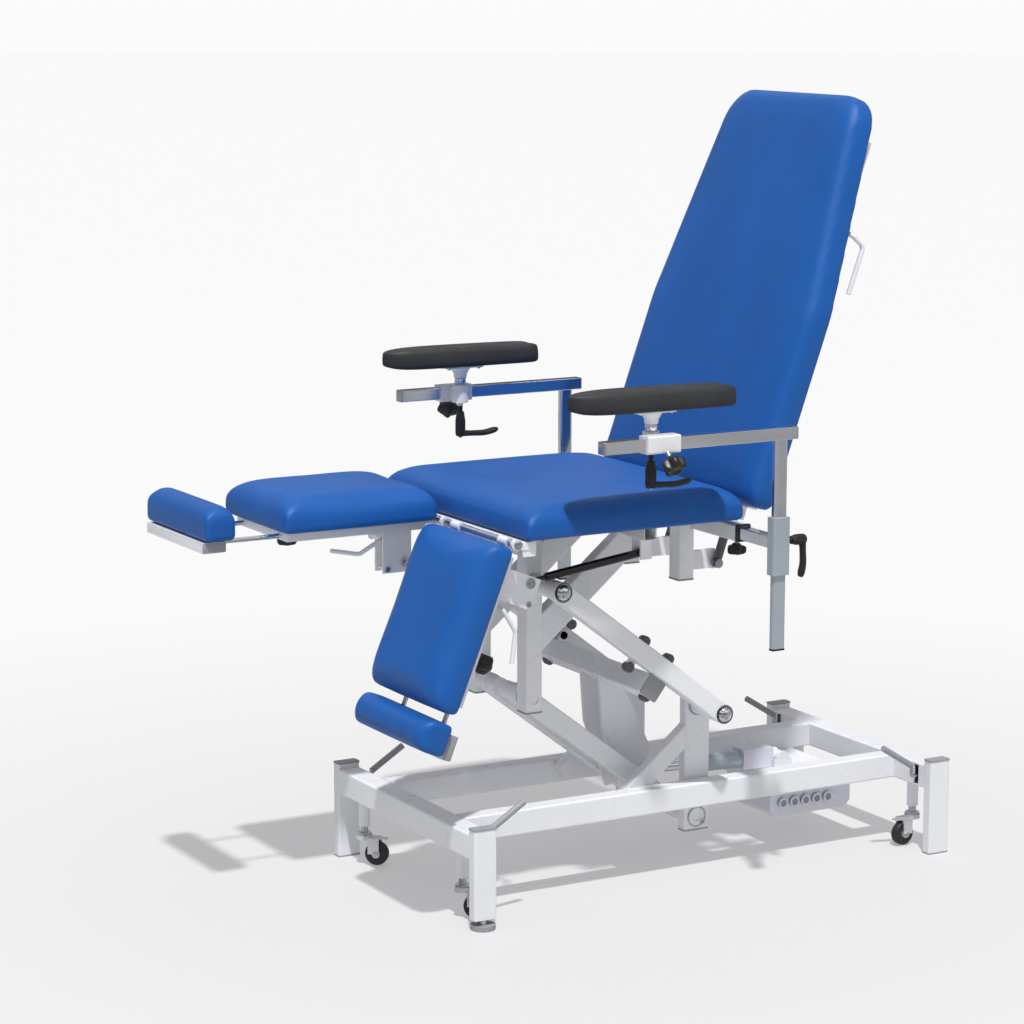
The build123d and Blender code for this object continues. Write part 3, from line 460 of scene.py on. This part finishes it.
def add_world():
    """White to the camera, dim to what it lights, and full of contrast to what mirrors it."""
    world = bpy.data.worlds.new("studio")
    scene.world = world
    world.use_nodes = True
    nodes, links = world.node_tree.nodes, world.node_tree.links
    nodes.clear()
    direction = nodes.new("ShaderNodeTexCoord")
    parts = nodes.new("ShaderNodeSeparateXYZ")
    links.new(direction.outputs["Generated"], parts.inputs["Vector"])

    def sky_ramp(rows):
        """Brightness by height above the horizon."""
        ramp = nodes.new("ShaderNodeValToRGB")
        while len(ramp.color_ramp.elements) < len(rows):
            ramp.color_ramp.elements.new(0.5)
        for element, (at, bright) in zip(ramp.color_ramp.elements, rows):
            element.position, element.color = at, (bright, bright, min(1.0, bright * 1.03), 1.0)
        links.new(parts.outputs["Z"], ramp.inputs["Fac"])
        return ramp.outputs["Color"]

    def background(colour=None, strength=None):
        node = nodes.new("ShaderNodeBackground")
        if colour is not None:
            links.new(colour, node.inputs["Color"])
        if strength is not None:
            links.new(strength, node.inputs["Strength"])
        return node

    def choose(factor, first, second):
        node = nodes.new("ShaderNodeMixShader")
        links.new(factor, node.inputs["Fac"])
        links.new(first.outputs[0], node.inputs[1])
        links.new(second.outputs[0], node.inputs[2])
        return node

    # soft boxes and dark gaps for reflections, so that bright metal has something to mirror
    boxes = nodes.new("ShaderNodeTexNoise")
    boxes.inputs["Scale"].default_value, boxes.inputs["Detail"].default_value = 1.7, 0.0
    links.new(direction.outputs["Generated"], boxes.inputs["Vector"])
    contrast = nodes.new("ShaderNodeMapRange")
    for key, value in (("From Min", 0.40), ("From Max", 0.60), ("To Min", 0.30), ("To Max", 1.15)):
        contrast.inputs[key].default_value = value
    links.new(boxes.outputs["Fac"], contrast.inputs["Value"])
    mirrored = sky_ramp(((0.0, 0.30), (0.08, 0.16), (0.20, 0.42), (0.32, 0.22), (0.5, 0.75), (1.0, 1.0)))
    glossy = background(mirrored, contrast.outputs["Result"])
    fill = background(sky_ramp(((0.0, 0.20), (0.12, 0.22), (0.3, 0.32), (0.55, 0.50), (1.0, 0.60))))
    backdrop = background()
    backdrop.inputs["Color"].default_value = (0.965, 0.965, 0.967, 1.0)
    path = nodes.new("ShaderNodeLightPath")
    lit = choose(path.outputs["Is Glossy Ray"], fill, glossy)
    seen = choose(path.outputs["Is Camera Ray"], lit, backdrop)
    output = nodes.new("ShaderNodeOutputWorld")
    links.new(seen.outputs[0], output.inputs["Surface"])


def add_floor():
    bm = bmesh.new()
    bmesh.ops.create_circle(bm, cap_ends=True, segments=96, radius=60.0)
    floor = new_object("floor", bm)
    g = Graph("studio_floor")
    # a pale glow keeps the floor light where the object shades it, and lighter far away
    away = g.add("VectorMath", operation="LENGTH")
    g.links.new(g.where, away.inputs[0])
    glow = g.spread(away.outputs["Value"], 0.275, 0.372, 0.8, 2.8)
    g.shader.inputs["Base Color"].default_value = (0.42, 0.42, 0.42, 1.0)
    g.shader.inputs["Emission Color"].default_value = (1.0, 1.0, 1.005, 1.0)
    g.links.new(glow, g.shader.inputs["Emission Strength"])
    g.shader.inputs["Roughness"].default_value = 0.75
    g.shader.inputs["Specular IOR Level"].default_value = 0.1
    # reflections see a darker floor, so that chrome keeps its contrast
    dark = g.add("Emission", Color=(0.98, 0.99, 1.0, 1.0))
    g.links.new(g.spread(g.noise(1.7, 1.0), 0.17, 0.56, 0.38, 0.62), dark.inputs["Strength"])
    mixed = g.add("MixShader")
    g.links.new(g.add("LightPath").outputs["Is Glossy Ray"], mixed.inputs["Fac"])
    g.links.new(g.shader.outputs["BSDF"], mixed.inputs[1])
    g.links.new(dark.outputs["Emission"], mixed.inputs[2])
    g.links.new(mixed.outputs["Shader"], g.nodes["Material Output"].inputs["Surface"])
    floor.data.materials.append(g.material)


add_camera(math.radians(-29.55), math.radians(9.99), math.radians(0.10))
add_sun()
add_world()
add_floor()


# ------------------------------------------------------------------ carried-over CAD nodes
def finish_node(name, choose_material=None):
    """Gives a CAD node its finishes: by the record's slot, or by where each face lies."""
    obj = frame["nodes"][name]
    mesh = obj.data
    if choose_material is None:
        for slot in obj.material_slots:
            key = slot.material.name.split(".")[0] if slot.material else "white_paint"
            slot.material = FINISH.get(key, WHITE)
        return
    used, chosen = [], []
    for polygon in mesh.polygons:
        centre = polygon.center * 1000
        material = choose_material(centre.x - BASE_X, centre.y, centre.z)
        if material not in used:
            used.append(material)
        chosen.append(used.index(material))
    while len(mesh.materials) < len(used):
        mesh.materials.append(used[0])
    for index, material in enumerate(used):
        obj.material_slots[index].material = material
    mesh.polygons.foreach_set("material_index", chosen)


def wheel_place(key):
    """The middle of a castor's wheel, and the direction of its axle."""
    end, side_sign, turn = CASTORS[key]
    a = math.radians(turn)
    centre = Vector((end * CASTOR_X + WHEEL_TRAIL * math.cos(a),
                     side_sign * CASTOR_Y + WHEEL_TRAIL * math.sin(a), WHEEL_Z))
    return centre, Vector((-math.sin(a), math.cos(a), 0))


def wheel_finish(key):
    """A grey hub in a dark tyre."""
    centre, axle = wheel_place(key)

    def choose_material(x, y, z):
        off = Vector((x, y, z)) - centre
        across = off.dot(axle)
        return GREY if (off - axle * across).length < HUB_RADIUS and abs(across) > HUB_FACE else RUBBER
    return choose_material


def slide_finish(side):
    """Polished rods up to the foot slide's painted channel."""
    to_leg = leg_axes(side).inverted()

    def choose_material(x, y, z):
        return CHROME if (to_leg @ place(x, y, z)).x - FOOT_OUT[side] < CHANNEL_START else WHITE
    return choose_material


# nodes that aren't plainly their slot's finish: the levelling foot's stem, the control box's cradle plate and
# sockets, the motor's housing behind its tube, the leg hinge's pin, the mast's collar, the pedals' treads
special = {
    "base_feet": lambda x, y, z: CHROME if x < -500 and y < -270 and 10.5 < z < 22 else GREY,
    "control_box": lambda x, y, z: WHITE if z > 137.9 else (GREY if y < -98.1 else LAVENDER),
    "lift_motor": lambda x, y, z: LAVENDER if x > 243 else SATIN,
    "lift_rod": lambda x, y, z: CHROME,
    "seat_frame": lambda x, y, z: ZINC if math.hypot(x - LEG_HINGE[0], z - LEG_HINGE[1]) < 8.2 else WHITE,
    "pivot_shafts": lambda x, y, z: CHROME,
    "castor_stems": lambda x, y, z: ZINC,
    "back_strut_cylinders": lambda x, y, z: DARK_ZINC,
}
for side in SIDE:
    special[f"arm_bar_{side}"] = lambda x, y, z: SATIN if abs(y) > 404.5 else CHROME
    special[f"arm_mast_{side}"] = lambda x, y, z: MAST
    special[f"foot_slide_{side}"] = slide_finish(side)
for end in ("foot", "head"):
    special[f"pedal_shaft_{end}"] = lambda x, y, z: GREY if z > 188 and abs(x) < 506 else ZINC
for key in CASTORS:
    special[f"castor_wheel_{key}"] = wheel_finish(key)
for node in frame["nodes"]:
    finish_node(node, special.get(node))


# ------------------------------------------------------------------ cushions
CLOTH_FRAMES, PRESSURE = 20, 4.0
SMOOTHING = 14           # passes that take the creases out of the cloth's shift
MARGIN = 0.5             # from the CAD pad's outline to the form's


def simulate(obj, cap, pinned_below):
    """Blows the closed form up a little with cloth, and limits how far each point goes."""
    group = obj.vertex_groups.new(name="pin")
    mesh = obj.data
    group.add([v.index for v in mesh.vertices if v.co.z < pinned_below], 1.0, "REPLACE")
    start = [v.co.copy() for v in mesh.vertices]
    cloth = obj.modifiers.new("Cloth", "CLOTH")
    settings = cloth.settings
    settings.quality = 4
    settings.mass = 0.3
    settings.use_pressure = True
    settings.uniform_pressure_force = PRESSURE
    settings.tension_stiffness = settings.compression_stiffness = 18.0
    settings.shear_stiffness = 8.0
    settings.bending_stiffness = 6.0
    settings.effector_weights.gravity = 0.0
    settings.vertex_group_mass = "pin"
    cloth.collision_settings.use_collision = False
    cloth.point_cache.frame_start, cloth.point_cache.frame_end = 1, CLOTH_FRAMES
    for number in range(1, CLOTH_FRAMES + 1):
        scene.frame_set(number)
    shown = obj.evaluated_get(bpy.context.evaluated_depsgraph_get())
    moved = [v.co.copy() for v in shown.data.vertices]
    obj.modifiers.remove(cloth)
    obj.vertex_groups.clear()
    scene.frame_set(1)
    shifts = [b - a for a, b in zip(start, moved)]
    around = [[] for _ in shifts]
    for edge in mesh.edges:
        first, second = edge.vertices
        around[first].append(second)
        around[second].append(first)
    for _ in range(SMOOTHING):
        shifts = [(shift + sum((shifts[n] for n in near), Vector())) / (1 + len(near))
                  for shift, near in zip(shifts, around)]
    for vertex, a, shift in zip(mesh.vertices, start, shifts):
        size = shift.length
        if size > 1e-9:
            vertex.co = a + shift * (cap * math.tanh(size / cap) / size)


def cushion(name, node, outline, radii, low, high, edge, matrix, cap=0.0035, voxel=0.007, crown=4.0):
    """An upholstered pad: a rolled-edge form, remeshed, blown up with cloth and smoothed.

    It is made in the pad's own axes, in metres. The cap and the voxel are metres, the rest millimetres."""
    xs, ys = [p[0] for p in outline], [p[1] for p in outline]
    narrow = max(xs) - min(xs)
    middle_z = (low + high) / 2
    roll_in = edge * min(1.0, 0.44 * narrow / edge)
    top = high - 1.5
    rows = [(9.0, low + 1.0), (4.0, low + 2.0), (1.5, low + 5.0), (0.0, low + 11.0)]
    for k in range(9):
        a = math.pi / 2 * k / 8
        rows.append((roll_in * (1 - math.cos(a)), top - edge + edge * math.sin(a)))
    rings = []
    for inset, z in rows:
        limit = 0.9 * (narrow / 2 - MARGIN - inset)
        rings.append(ring_at(z, outline, radii, MARGIN + inset, 10, 0.9 if z > middle_z else -0.5, limit))
    bm = bridge_rings(rings)
    bmesh.ops.scale(bm, vec=(0.001, 0.001, 0.001), verts=bm.verts)
    bmesh.ops.recalc_face_normals(bm, faces=bm.faces)
    obj = new_object(name, bm)
    form = obj.data
    remesh = obj.modifiers.new("Remesh", "REMESH")
    remesh.mode, remesh.voxel_size = "VOXEL", voxel
    mesh = bpy.data.meshes.new_from_object(obj.evaluated_get(bpy.context.evaluated_depsgraph_get()))
    obj.modifiers.remove(remesh)
    obj.data = mesh
    bpy.data.meshes.remove(form)
    mesh.name = name

    # the top rises softly towards its middle
    x_mid, x_half = (min(xs) + max(xs)) / 2000, (max(xs) - min(xs)) / 2000
    y_half = max(abs(y) for y in ys) / 1000
    middle = (low + high) / 2000
    for vertex in mesh.vertices:
        lift = max(0.0, (vertex.co.z - middle) / (high / 1000 - middle))
        u, v = (vertex.co.x - x_mid) / x_half, vertex.co.y / y_half
        vertex.co.z += crown / 1000 * lift * max(0.0, 1 - u * u) * max(0.0, 1 - v * v)
    simulate(obj, cap, low / 1000 + 0.006)
    mesh.transform(matrix @ Matrix.Scale(1000, 4))
    mesh.materials.clear()
    mesh.materials.append(BLUE)
    mesh.polygons.foreach_set("use_smooth", [True] * len(mesh.polygons))
    subdivide(obj, 1)
    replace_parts(obj, node)
    body = BODY[node]
    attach(obj, body)
    # a dark board closes the underside, well inside the outline
    board = slab(outline, radii, low + 0.2, low + 2.4, 0.6, shrink=22 if high - low < 70 else 16)
    piece(name + "_underside", board, matrix, UNDERCLOTH, body)


SEAT_OUTLINE = box_points(-459, 51, -HALF_SEAT - 5, HALF_SEAT + 5)
cushion("seat_cushion", "seat_pad", SEAT_OUTLINE, [14] * 4, 763, 830, 40, FLAT)
BACK_OUTLINE = [(14, -HALF_SEAT), (421, -HALF_SEAT), (890, -232),
                (890, 232), (421, HALF_SEAT), (14, HALF_SEAT)]
cushion("back_cushion", "back_pad", BACK_OUTLINE, [24, 160, 72, 72, 160, 24], 11.5, 76, 28, BACK,
        voxel=0.0085)
for side, out in FOOT_OUT.items():
    cushion(f"leg_cushion_{side}", f"leg_pad_{side}", box_points(10, 353, -HALF_LEG, HALF_LEG), [13] * 4,
            0.5, 71.5, 40, leg_axes(side), cap=0.003, voxel=0.006)
    cushion(f"foot_cushion_{side}", f"foot_pad_{side}", box_points(371 + out, 437 + out, -HALF_LEG, HALF_LEG),
            [9] * 4, 0, 71, 31, leg_axes(side), cap=0.002, voxel=0.0045, crown=1.0)


# ------------------------------------------------------------------ arm pads
def screw(name, origin, direction, body, radius=5.0):
    """A button-head screw with a round socket."""
    r = radius
    rows = [(r, -0.6), (r, 0.35 * r), (0.93 * r, 0.55 * r), (0.72 * r, 0.78 * r), (0.5 * r, 0.85 * r),
            (0.46 * r, 0.82 * r), (0.44 * r, 0.25 * r)]
    piece(name, turned(rows, 24), along(origin, direction), ZINC, body, sharp=50)


# along the pad: how far, the half width, and where its bottom and top lie, as parts of the whole
PAD_STATIONS = ((0.000, 0.16, 0.30, 0.80), (0.015, 0.34, 0.16, 0.87), (0.05, 0.56, 0.07, 0.93),
                (0.11, 0.74, 0.02, 0.97), (0.20, 0.88, 0.0, 1.0), (0.34, 0.97, 0.0, 1.0),
                (0.60, 1.0, 0.0, 0.985), (0.80, 1.0, 0.0, 0.96), (0.90, 0.99, 0.0, 0.945),
                (0.955, 0.95, 0.0, 0.93), (0.985, 0.84, 0.03, 0.90), (1.0, 0.62, 0.12, 0.80))
# half of the pad's section from its middle line: across, and up
PAD_HALF_SECTION = ((0.0, 0.97), (0.30, 0.985), (0.66, 1.0), (0.84, 0.93), (0.93, 0.74), (0.985, 0.46),
                    (1.0, 0.20), (0.93, 0.06), (0.80, 0.0), (0.40, 0.0), (0.0, 0.0))


def arm_pad(side, sy):
    """The moulded pad: narrower on top, with a long tapered front, on its turning pin."""
    body = BODY[f"arm_pad_{side}"]
    pin_y = sy * PAD_PIN_Y
    low, high = PAD_Z
    section = [(-across, rise) for across, rise in PAD_HALF_SECTION[7:0:-1]]
    section += PAD_HALF_SECTION + tuple((-across, rise) for across, rise in PAD_HALF_SECTION[9:7:-1])
    rings = []
    for at, wide, bottom, top in PAD_STATIONS:
        x = PAD_X[0] + (PAD_X[1] - PAD_X[0]) * at
        rings.append([(x, pin_y + across * PAD_HALF_Y * wide,
                       low + (high - low) * (bottom + (top - bottom) * rise)) for across, rise in section])
    pad = piece(f"arm_rest_{side}", bridge_rings(rings), FLAT, FOAM, body, sharp=80)
    subdivide(pad, 2)
    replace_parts(pad, f"arm_pad_{side}")

    at = axes((PAD_PIN_X, pin_y, 0), (1, 0, 0), (0, 0, 1))
    pin = [(5.0, 930), (6.0, 931), (6.0, 976.5), (12, 976.5), (12.4, 977.5), (12.4, 989), (11.6, 990),
           (6, 990), (6, 1004), (15.2, 1004), (16, 1005), (16, 1018.5), (6, 1018.5)]
    piece(f"arm_rest_pin_{side}", turned(pin, 40), at, CHROME, body)
    outline = box_points(PAD_PIN_X - 46, PAD_PIN_X + 46, pin_y - 26, pin_y + 26)
    piece(f"arm_rest_plate_{side}", slab(outline, 9, 1014.2, 1018.4, 0.8), FLAT, WHITE, body)
    cone = [(13, 991), (13.6, 992), (14.5, 1000), (20, 1010), (25, 1014.5), (6, 1014.5)]
    piece(f"arm_rest_cone_{side}", turned(cone, 40), at, WHITE, body)
    for i, dx in enumerate((-36, 36)):
        for j, dy in enumerate((-17, 17)):
            screw_at = (PAD_PIN_X + dx, pin_y + dy, 1014.4)
            screw(f"arm_rest_screw_{side}_{i}{j}", screw_at, (0, 0, -1), body, 4.2)


for side, sy in SIDE.items():
    arm_pad(side, sy)


# ------------------------------------------------------------------ knobs and levers
def star(name, matrix, radius, height, body):
    """A lobed clamping knob on its stud."""
    r, h = radius, height
    rows = [(0.30 * r, 0.24 * h), (0.44 * r, 0.30 * h), (0.52 * r, 0.40 * h), (0.82 * r, 0.44 * h, 0.16),
            (0.97 * r, 0.49 * h, 0.30), (1.03 * r, 0.56 * h, 0.36), (1.03 * r, 0.80 * h, 0.36),
            (0.96 * r, 0.91 * h, 0.30), (0.80 * r, 0.98 * h, 0.16), (0.50 * r, 1.0 * h),
            (0.44 * r, 0.985 * h), (0.40 * r, 0.96 * h)]
    knob = piece(name, turned(rows, 70, lobes=5), matrix, BLACK, body, sharp=60)
    stud = [(0.20 * r, -1.0), (0.20 * r, 0.3 * h), (0.18 * r, 0.31 * h)]
    piece(name + "_stud", turned(stud, 20), matrix, ZINC, body)
    return knob


knobs = []
for side, sy in SIDE.items():
    bar_at = along((RECEIVER[0], sy * 268, RECEIVER[1] - 17), (0, 0, -1))
    knobs.append(star(f"bar_knob_{side}", bar_at, 20, 30, BODY["bar_knobs"]))
    knob_at = leg_axes(side) @ Matrix.Translation((240, -sy * 85, -18.3)) @ Matrix.Rotation(math.pi, 4, "X")
    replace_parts(star(f"foot_star_{side}", knob_at, 21, 46, BODY[f"foot_knob_{side}"]), f"foot_knob_{side}")
    # out of the carriage's lower outer edge, at 45 degrees
    corner = 12.4 + 5.8 / math.sqrt(2)
    carriage_at = along((PAD_PIN_X + 8, sy * (MAST_Y + corner), ARM_TUBE_Z - corner), (0, sy, -1))
    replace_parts(star(f"carriage_star_{side}", carriage_at, 24, 44, BODY[f"carriage_knob_{side}"]),
                f"carriage_knob_{side}")
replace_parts(knobs[0], "bar_knobs")


def clamp(name, node, origin, hub_dir, handle_dir, reach, drop):
    """A clamping lever: ribbed hub on a stud, and a bowed handle that widens at its end."""
    m = axes(origin, handle_dir, hub_dir)
    body = BODY[node]
    rows = [(5.0, 0.2), (5.0, drop * 0.24), (8.2, drop * 0.25), (8.8, drop * 0.34),
            (10.5, drop * 0.5, 0.10), (11, drop * 0.55, 0.12), (11, drop - 3, 0.12),
            (10.4, drop + 2, 0.08), (8.5, drop + 5), (4.0, drop + 5.6)]
    hub = piece(name + "_hub", turned(rows, 72, lobes=18), m, BLACK, body, sharp=60)
    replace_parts(hub, node)
    line = [(2, 0, drop - 1), (reach * 0.30, 0, drop + 0.5), (reach * 0.62, 0, drop + 1.4),
            (reach * 0.88, 0, drop - 2.4), (reach - 1.2, 0, drop - 5.0)]
    grip = swept(line, [(19, 14), (15, 12.5), (16, 13), (18, 13), (10, 8)], 20, 8)
    piece(name + "_handle", grip, m, BLACK, body, sharp=70)
    screw(name + "_screw", Vector(origin) + Vector(hub_dir) * (drop + 5), hub_dir, body, 4.5)


for side, sy in SIDE.items():
    clamp(f"mast_clamp_{side}", f"mast_lever_{side}", (RECEIVER[0] + 20.3, sy * MAST_Y, 739),
          (1, 0, 0), (0, 0, -1), 78, 38)
    clamp(f"pad_clamp_{side}", f"pad_lever_{side}", (PAD_PIN_X, sy * PAD_PIN_Y, ARM_TUBE_Z - 22.5),
          (0, 0, -1), (1, 0, 0), 92, 64)


# ------------------------------------------------------------------ caps, rings and fasteners
SEAT_BODY, LIFT_BODY = BODY["seat_frame"], BODY["upper_arms"]
ARM_DIR = (-ARM_COS, 0, ARM_SIN)


def cap_below(name, x, y, z, wide_x, wide_y, body, material=GREY, thick=3.5):
    """A plastic cap under the open lower end of a tube."""
    outline = box_points(x - wide_x / 2, x + wide_x / 2, y - wide_y / 2, y + wide_y / 2)
    piece(name, slab(outline, 4.5, z - thick, z + 0.4, 1.2), FLAT, material, body)


def arm_tube_ends(side, sy):
    """The two ends of the armrest's level tube, and the collar its mast's cross tube slides in."""
    for tag, x, outward in (("front", -358, -1), ("rear", 85, 1)):
        end_at = axes((x, sy * MAST_Y, ARM_TUBE_Z), (0, 0, 1), (outward, 0, 0))
        piece(f"level_tube_{tag}_{side}", slab(square(12.8, 12.8), 3.5, -0.4, 2.2, 0.8), end_at, ZINC,
              BODY[f"arm_mast_{side}"])
    collar_at = axes((RECEIVER[0], sy * 292, RECEIVER[1]), (1, 0, 0), (0, sy, 0))
    collar = hollow_slab(square(18, 18), 5, square(13.2, 13.2), 3, -3, 1.8)
    piece(f"receiver_collar_{side}", collar, collar_at, BLACK, SEAT_BODY)


def beam_fittings(side, sy):
    """The cross beam's end cap, and the bolts on tabs that hold its brackets to the upper arm."""
    beam_at = axes((BASE_PIVOT[0] - BEAM_AT * ARM_COS - BEAM_BELOW * ARM_SIN, sy * BEAM_END_Y,
                    BASE_PIVOT[1] + BEAM_AT * ARM_SIN - BEAM_BELOW * ARM_COS), ARM_DIR, (0, sy, 0))
    piece(f"beam_cap_{side}", slab(square(23, 23), 5, -0.4, 3.4, 1.2), beam_at, GREY, LIFT_BODY)
    plate_at = axes((BASE_PIVOT[0], sy * 193, BASE_PIVOT[1]), ARM_DIR, (0, sy, 0))
    for i, (distance, rise) in enumerate(((161, 29), (233, 29), (161, -62), (233, -34))):
        span = sorted((0, sy * rise))
        tab = slab(box_points(distance - 10, distance + 10, span[0] - 9, span[1] + 9), 8, 0, 5, 0.8)
        piece(f"beam_tab_{side}_{i}", tab, plate_at, WHITE, LIFT_BODY)
        x = BASE_PIVOT[0] - distance * ARM_COS + rise * ARM_SIN
        z = BASE_PIVOT[1] + distance * ARM_SIN + rise * ARM_COS
        bolt = turned([(10.2, -12), (10.8, -11), (10.8, 3.5), (9.6, 6.5), (6.8, 8.6), (3, 9.6)], 32)
        piece(f"beam_bolt_{side}_{i}", bolt, along((x, sy * 198, z), (0, sy, 0)), DARK_ZINC, LIFT_BODY)


def pivot_rings(side, sy):
    """Black rings round the pivot shafts' ends, washers on the posts, and the bolt and pin near them."""
    for tag, (x, z) in (("top", TOP_PIVOT), ("base", BASE_PIVOT)):
        ring = turned([(18.2, -0.3), (19.6, 0.0), (19.6, 1.8), (19.0, 2.4), (18.2, 2.4)], 40, closed=False)
        piece(f"arm_ring_{tag}_{side}", ring, along((x, sy * SHAFT_END_Y, z), (0, sy, 0)), BLACK, LIFT_BODY)
    for z in (BASE_PIVOT[1], BASE_PIVOT[1] - LINK_DROP):
        ring = turned([(19.6, -0.2), (23, 0.0), (23, 1.0), (22, 1.6), (19.6, 1.6)], 40, closed=False)
        post_at = along((POST_X, sy * POST_FACE_Y, z), (0, sy, 0))
        piece(f"post_ring_{side}_{int(z)}", ring, post_at, ZINC, "root")
    screw(f"post_bolt_{side}", (POST_X + 14, sy * POST_FACE_Y, 96), (0, sy, 0), "root", 5.5)
    pin_end = turned([(8.6, -1), (9.6, 0.2), (9.6, 2.6), (8.2, 4.0), (4, 4.6)], 32)
    piece(f"strut_pin_end_{side}", pin_end, along((116, sy * 107, 636), (0, sy, 0)), GREY, SEAT_BODY)


def foot_channel_caps(side):
    """The foot slide's channel: a closing plate at its end, and a grey cap on each side."""
    m, out, body = leg_axes(side), FOOT_OUT[side], BODY[f"foot_slide_{side}"]
    end_at = m @ Matrix.Translation((437.4 + out, 0, 0)) @ Matrix.Rotation(math.pi / 2, 4, "Y")
    end_plate = slab(box_points(1.0, 20.6, -133.5, 133.5), 3, 0, 2.4, 0.7)
    piece(f"foot_channel_end_{side}", end_plate, end_at, WHITE, body)
    for tag, sign in (("a", 1), ("b", -1)):
        low = -1.2 if sign > 0 else -2.4
        cap = slab(box_points(CHANNEL_START + out, 439.6 + out, -21.6, -0.8), 3, low, low + 3.6, 0.8)
        cap_at = m @ Matrix.Translation((0, sign * 135, 0)) @ Matrix.Rotation(math.pi / 2, 4, "X")
        piece(f"foot_channel_cap_{side}_{tag}", cap, cap_at, GREY, body)


def leg_strut_fasteners(side, sy):
    """Socketed heads on both plates of the gas spring's bracket, and the end of the hinge pin."""
    for tag, t, sign in (("a", STRUT_T + 19, 1), ("b", STRUT_T - 19, -1)):
        for part, (s, n, big) in {"pin": (62, -86, 1.0), "bolt": (102, -98, 0.55)}.items():
            rows = [(9.5 * big, -0.3), (10.5 * big, 0.3), (10.5 * big, 1.8), (9.6 * big, 2.6),
                    (6.6 * big, 2.6), (6.2 * big, 1.4), (4.4 * big, 1.4), (4.2 * big, 3.4), (1.0, 3.8)]
            head_at = (leg_axes(side) @ Matrix.Translation((s, t, n))
                       @ Matrix.Rotation(-sign * math.pi / 2, 4, "X"))
            piece(f"strut_{part}_{side}_{tag}", turned(rows, 32), head_at, ZINC, BODY[f"leg_frame_{side}"])
    hinge_end = turned([(7.2, -1), (8.4, 0.2), (8.4, 1.6), (6.5, 2.8), (2, 3.2)], 28)
    hinge_at = along((LEG_HINGE[0], sy * 300, LEG_HINGE[1]), (0, sy, 0))
    piece(f"hinge_end_{side}", hinge_end, hinge_at, ZINC, SEAT_BODY)


for side, sy in SIDE.items():
    cap_below(f"front_column_cap_{side}", TOP_PIVOT[0], sy * COLUMN_Y, 375, 40, 42, SEAT_BODY)
    cap_below(f"rear_column_cap_{side}", 24.5, sy * COLUMN_Y, 615, 39, 42, SEAT_BODY)
    cap_below(f"post_cap_{side}", POST_X, sy * 126.5, 82, 62, 27, "root")
    cap_below(f"mast_plug_{side}", RECEIVER[0], sy * MAST_Y, 522, 31, 16, BODY[f"arm_mast_{side}"],
              BLACK, 4.0)
    arm_tube_ends(side, sy)
    beam_fittings(side, sy)
    pivot_rings(side, sy)
for side, sy in SIDE.items():
    foot_channel_caps(side)
    leg_strut_fasteners(side, sy)
for i in range(5):
    socket = turned([(11.4, -0.5), (11.4, 1.6), (10.6, 2.4), (8.2, 2.4), (7.6, 1.8), (7.6, -0.4)], 36,
                    closed=False)
    piece(f"socket_ring_{i}", socket, along((292 + 29 * i, -104, 96), (0, -1, 0)), LAVENDER, "root")
for key in CASTORS:
    centre, axle = wheel_place(key)
    for tag, sign in (("a", 1), ("b", -1)):
        nut = turned([(6.4, -0.2), (6.8, 0.5), (6.8, 3.4), (5.8, 4.2)], 6)
        piece(f"castor_nut_{key}_{tag}", nut, along(centre + axle * 14 * sign, axle * sign), ZINC,
              BODY[f"castor_fork_{key}"], smooth=False)
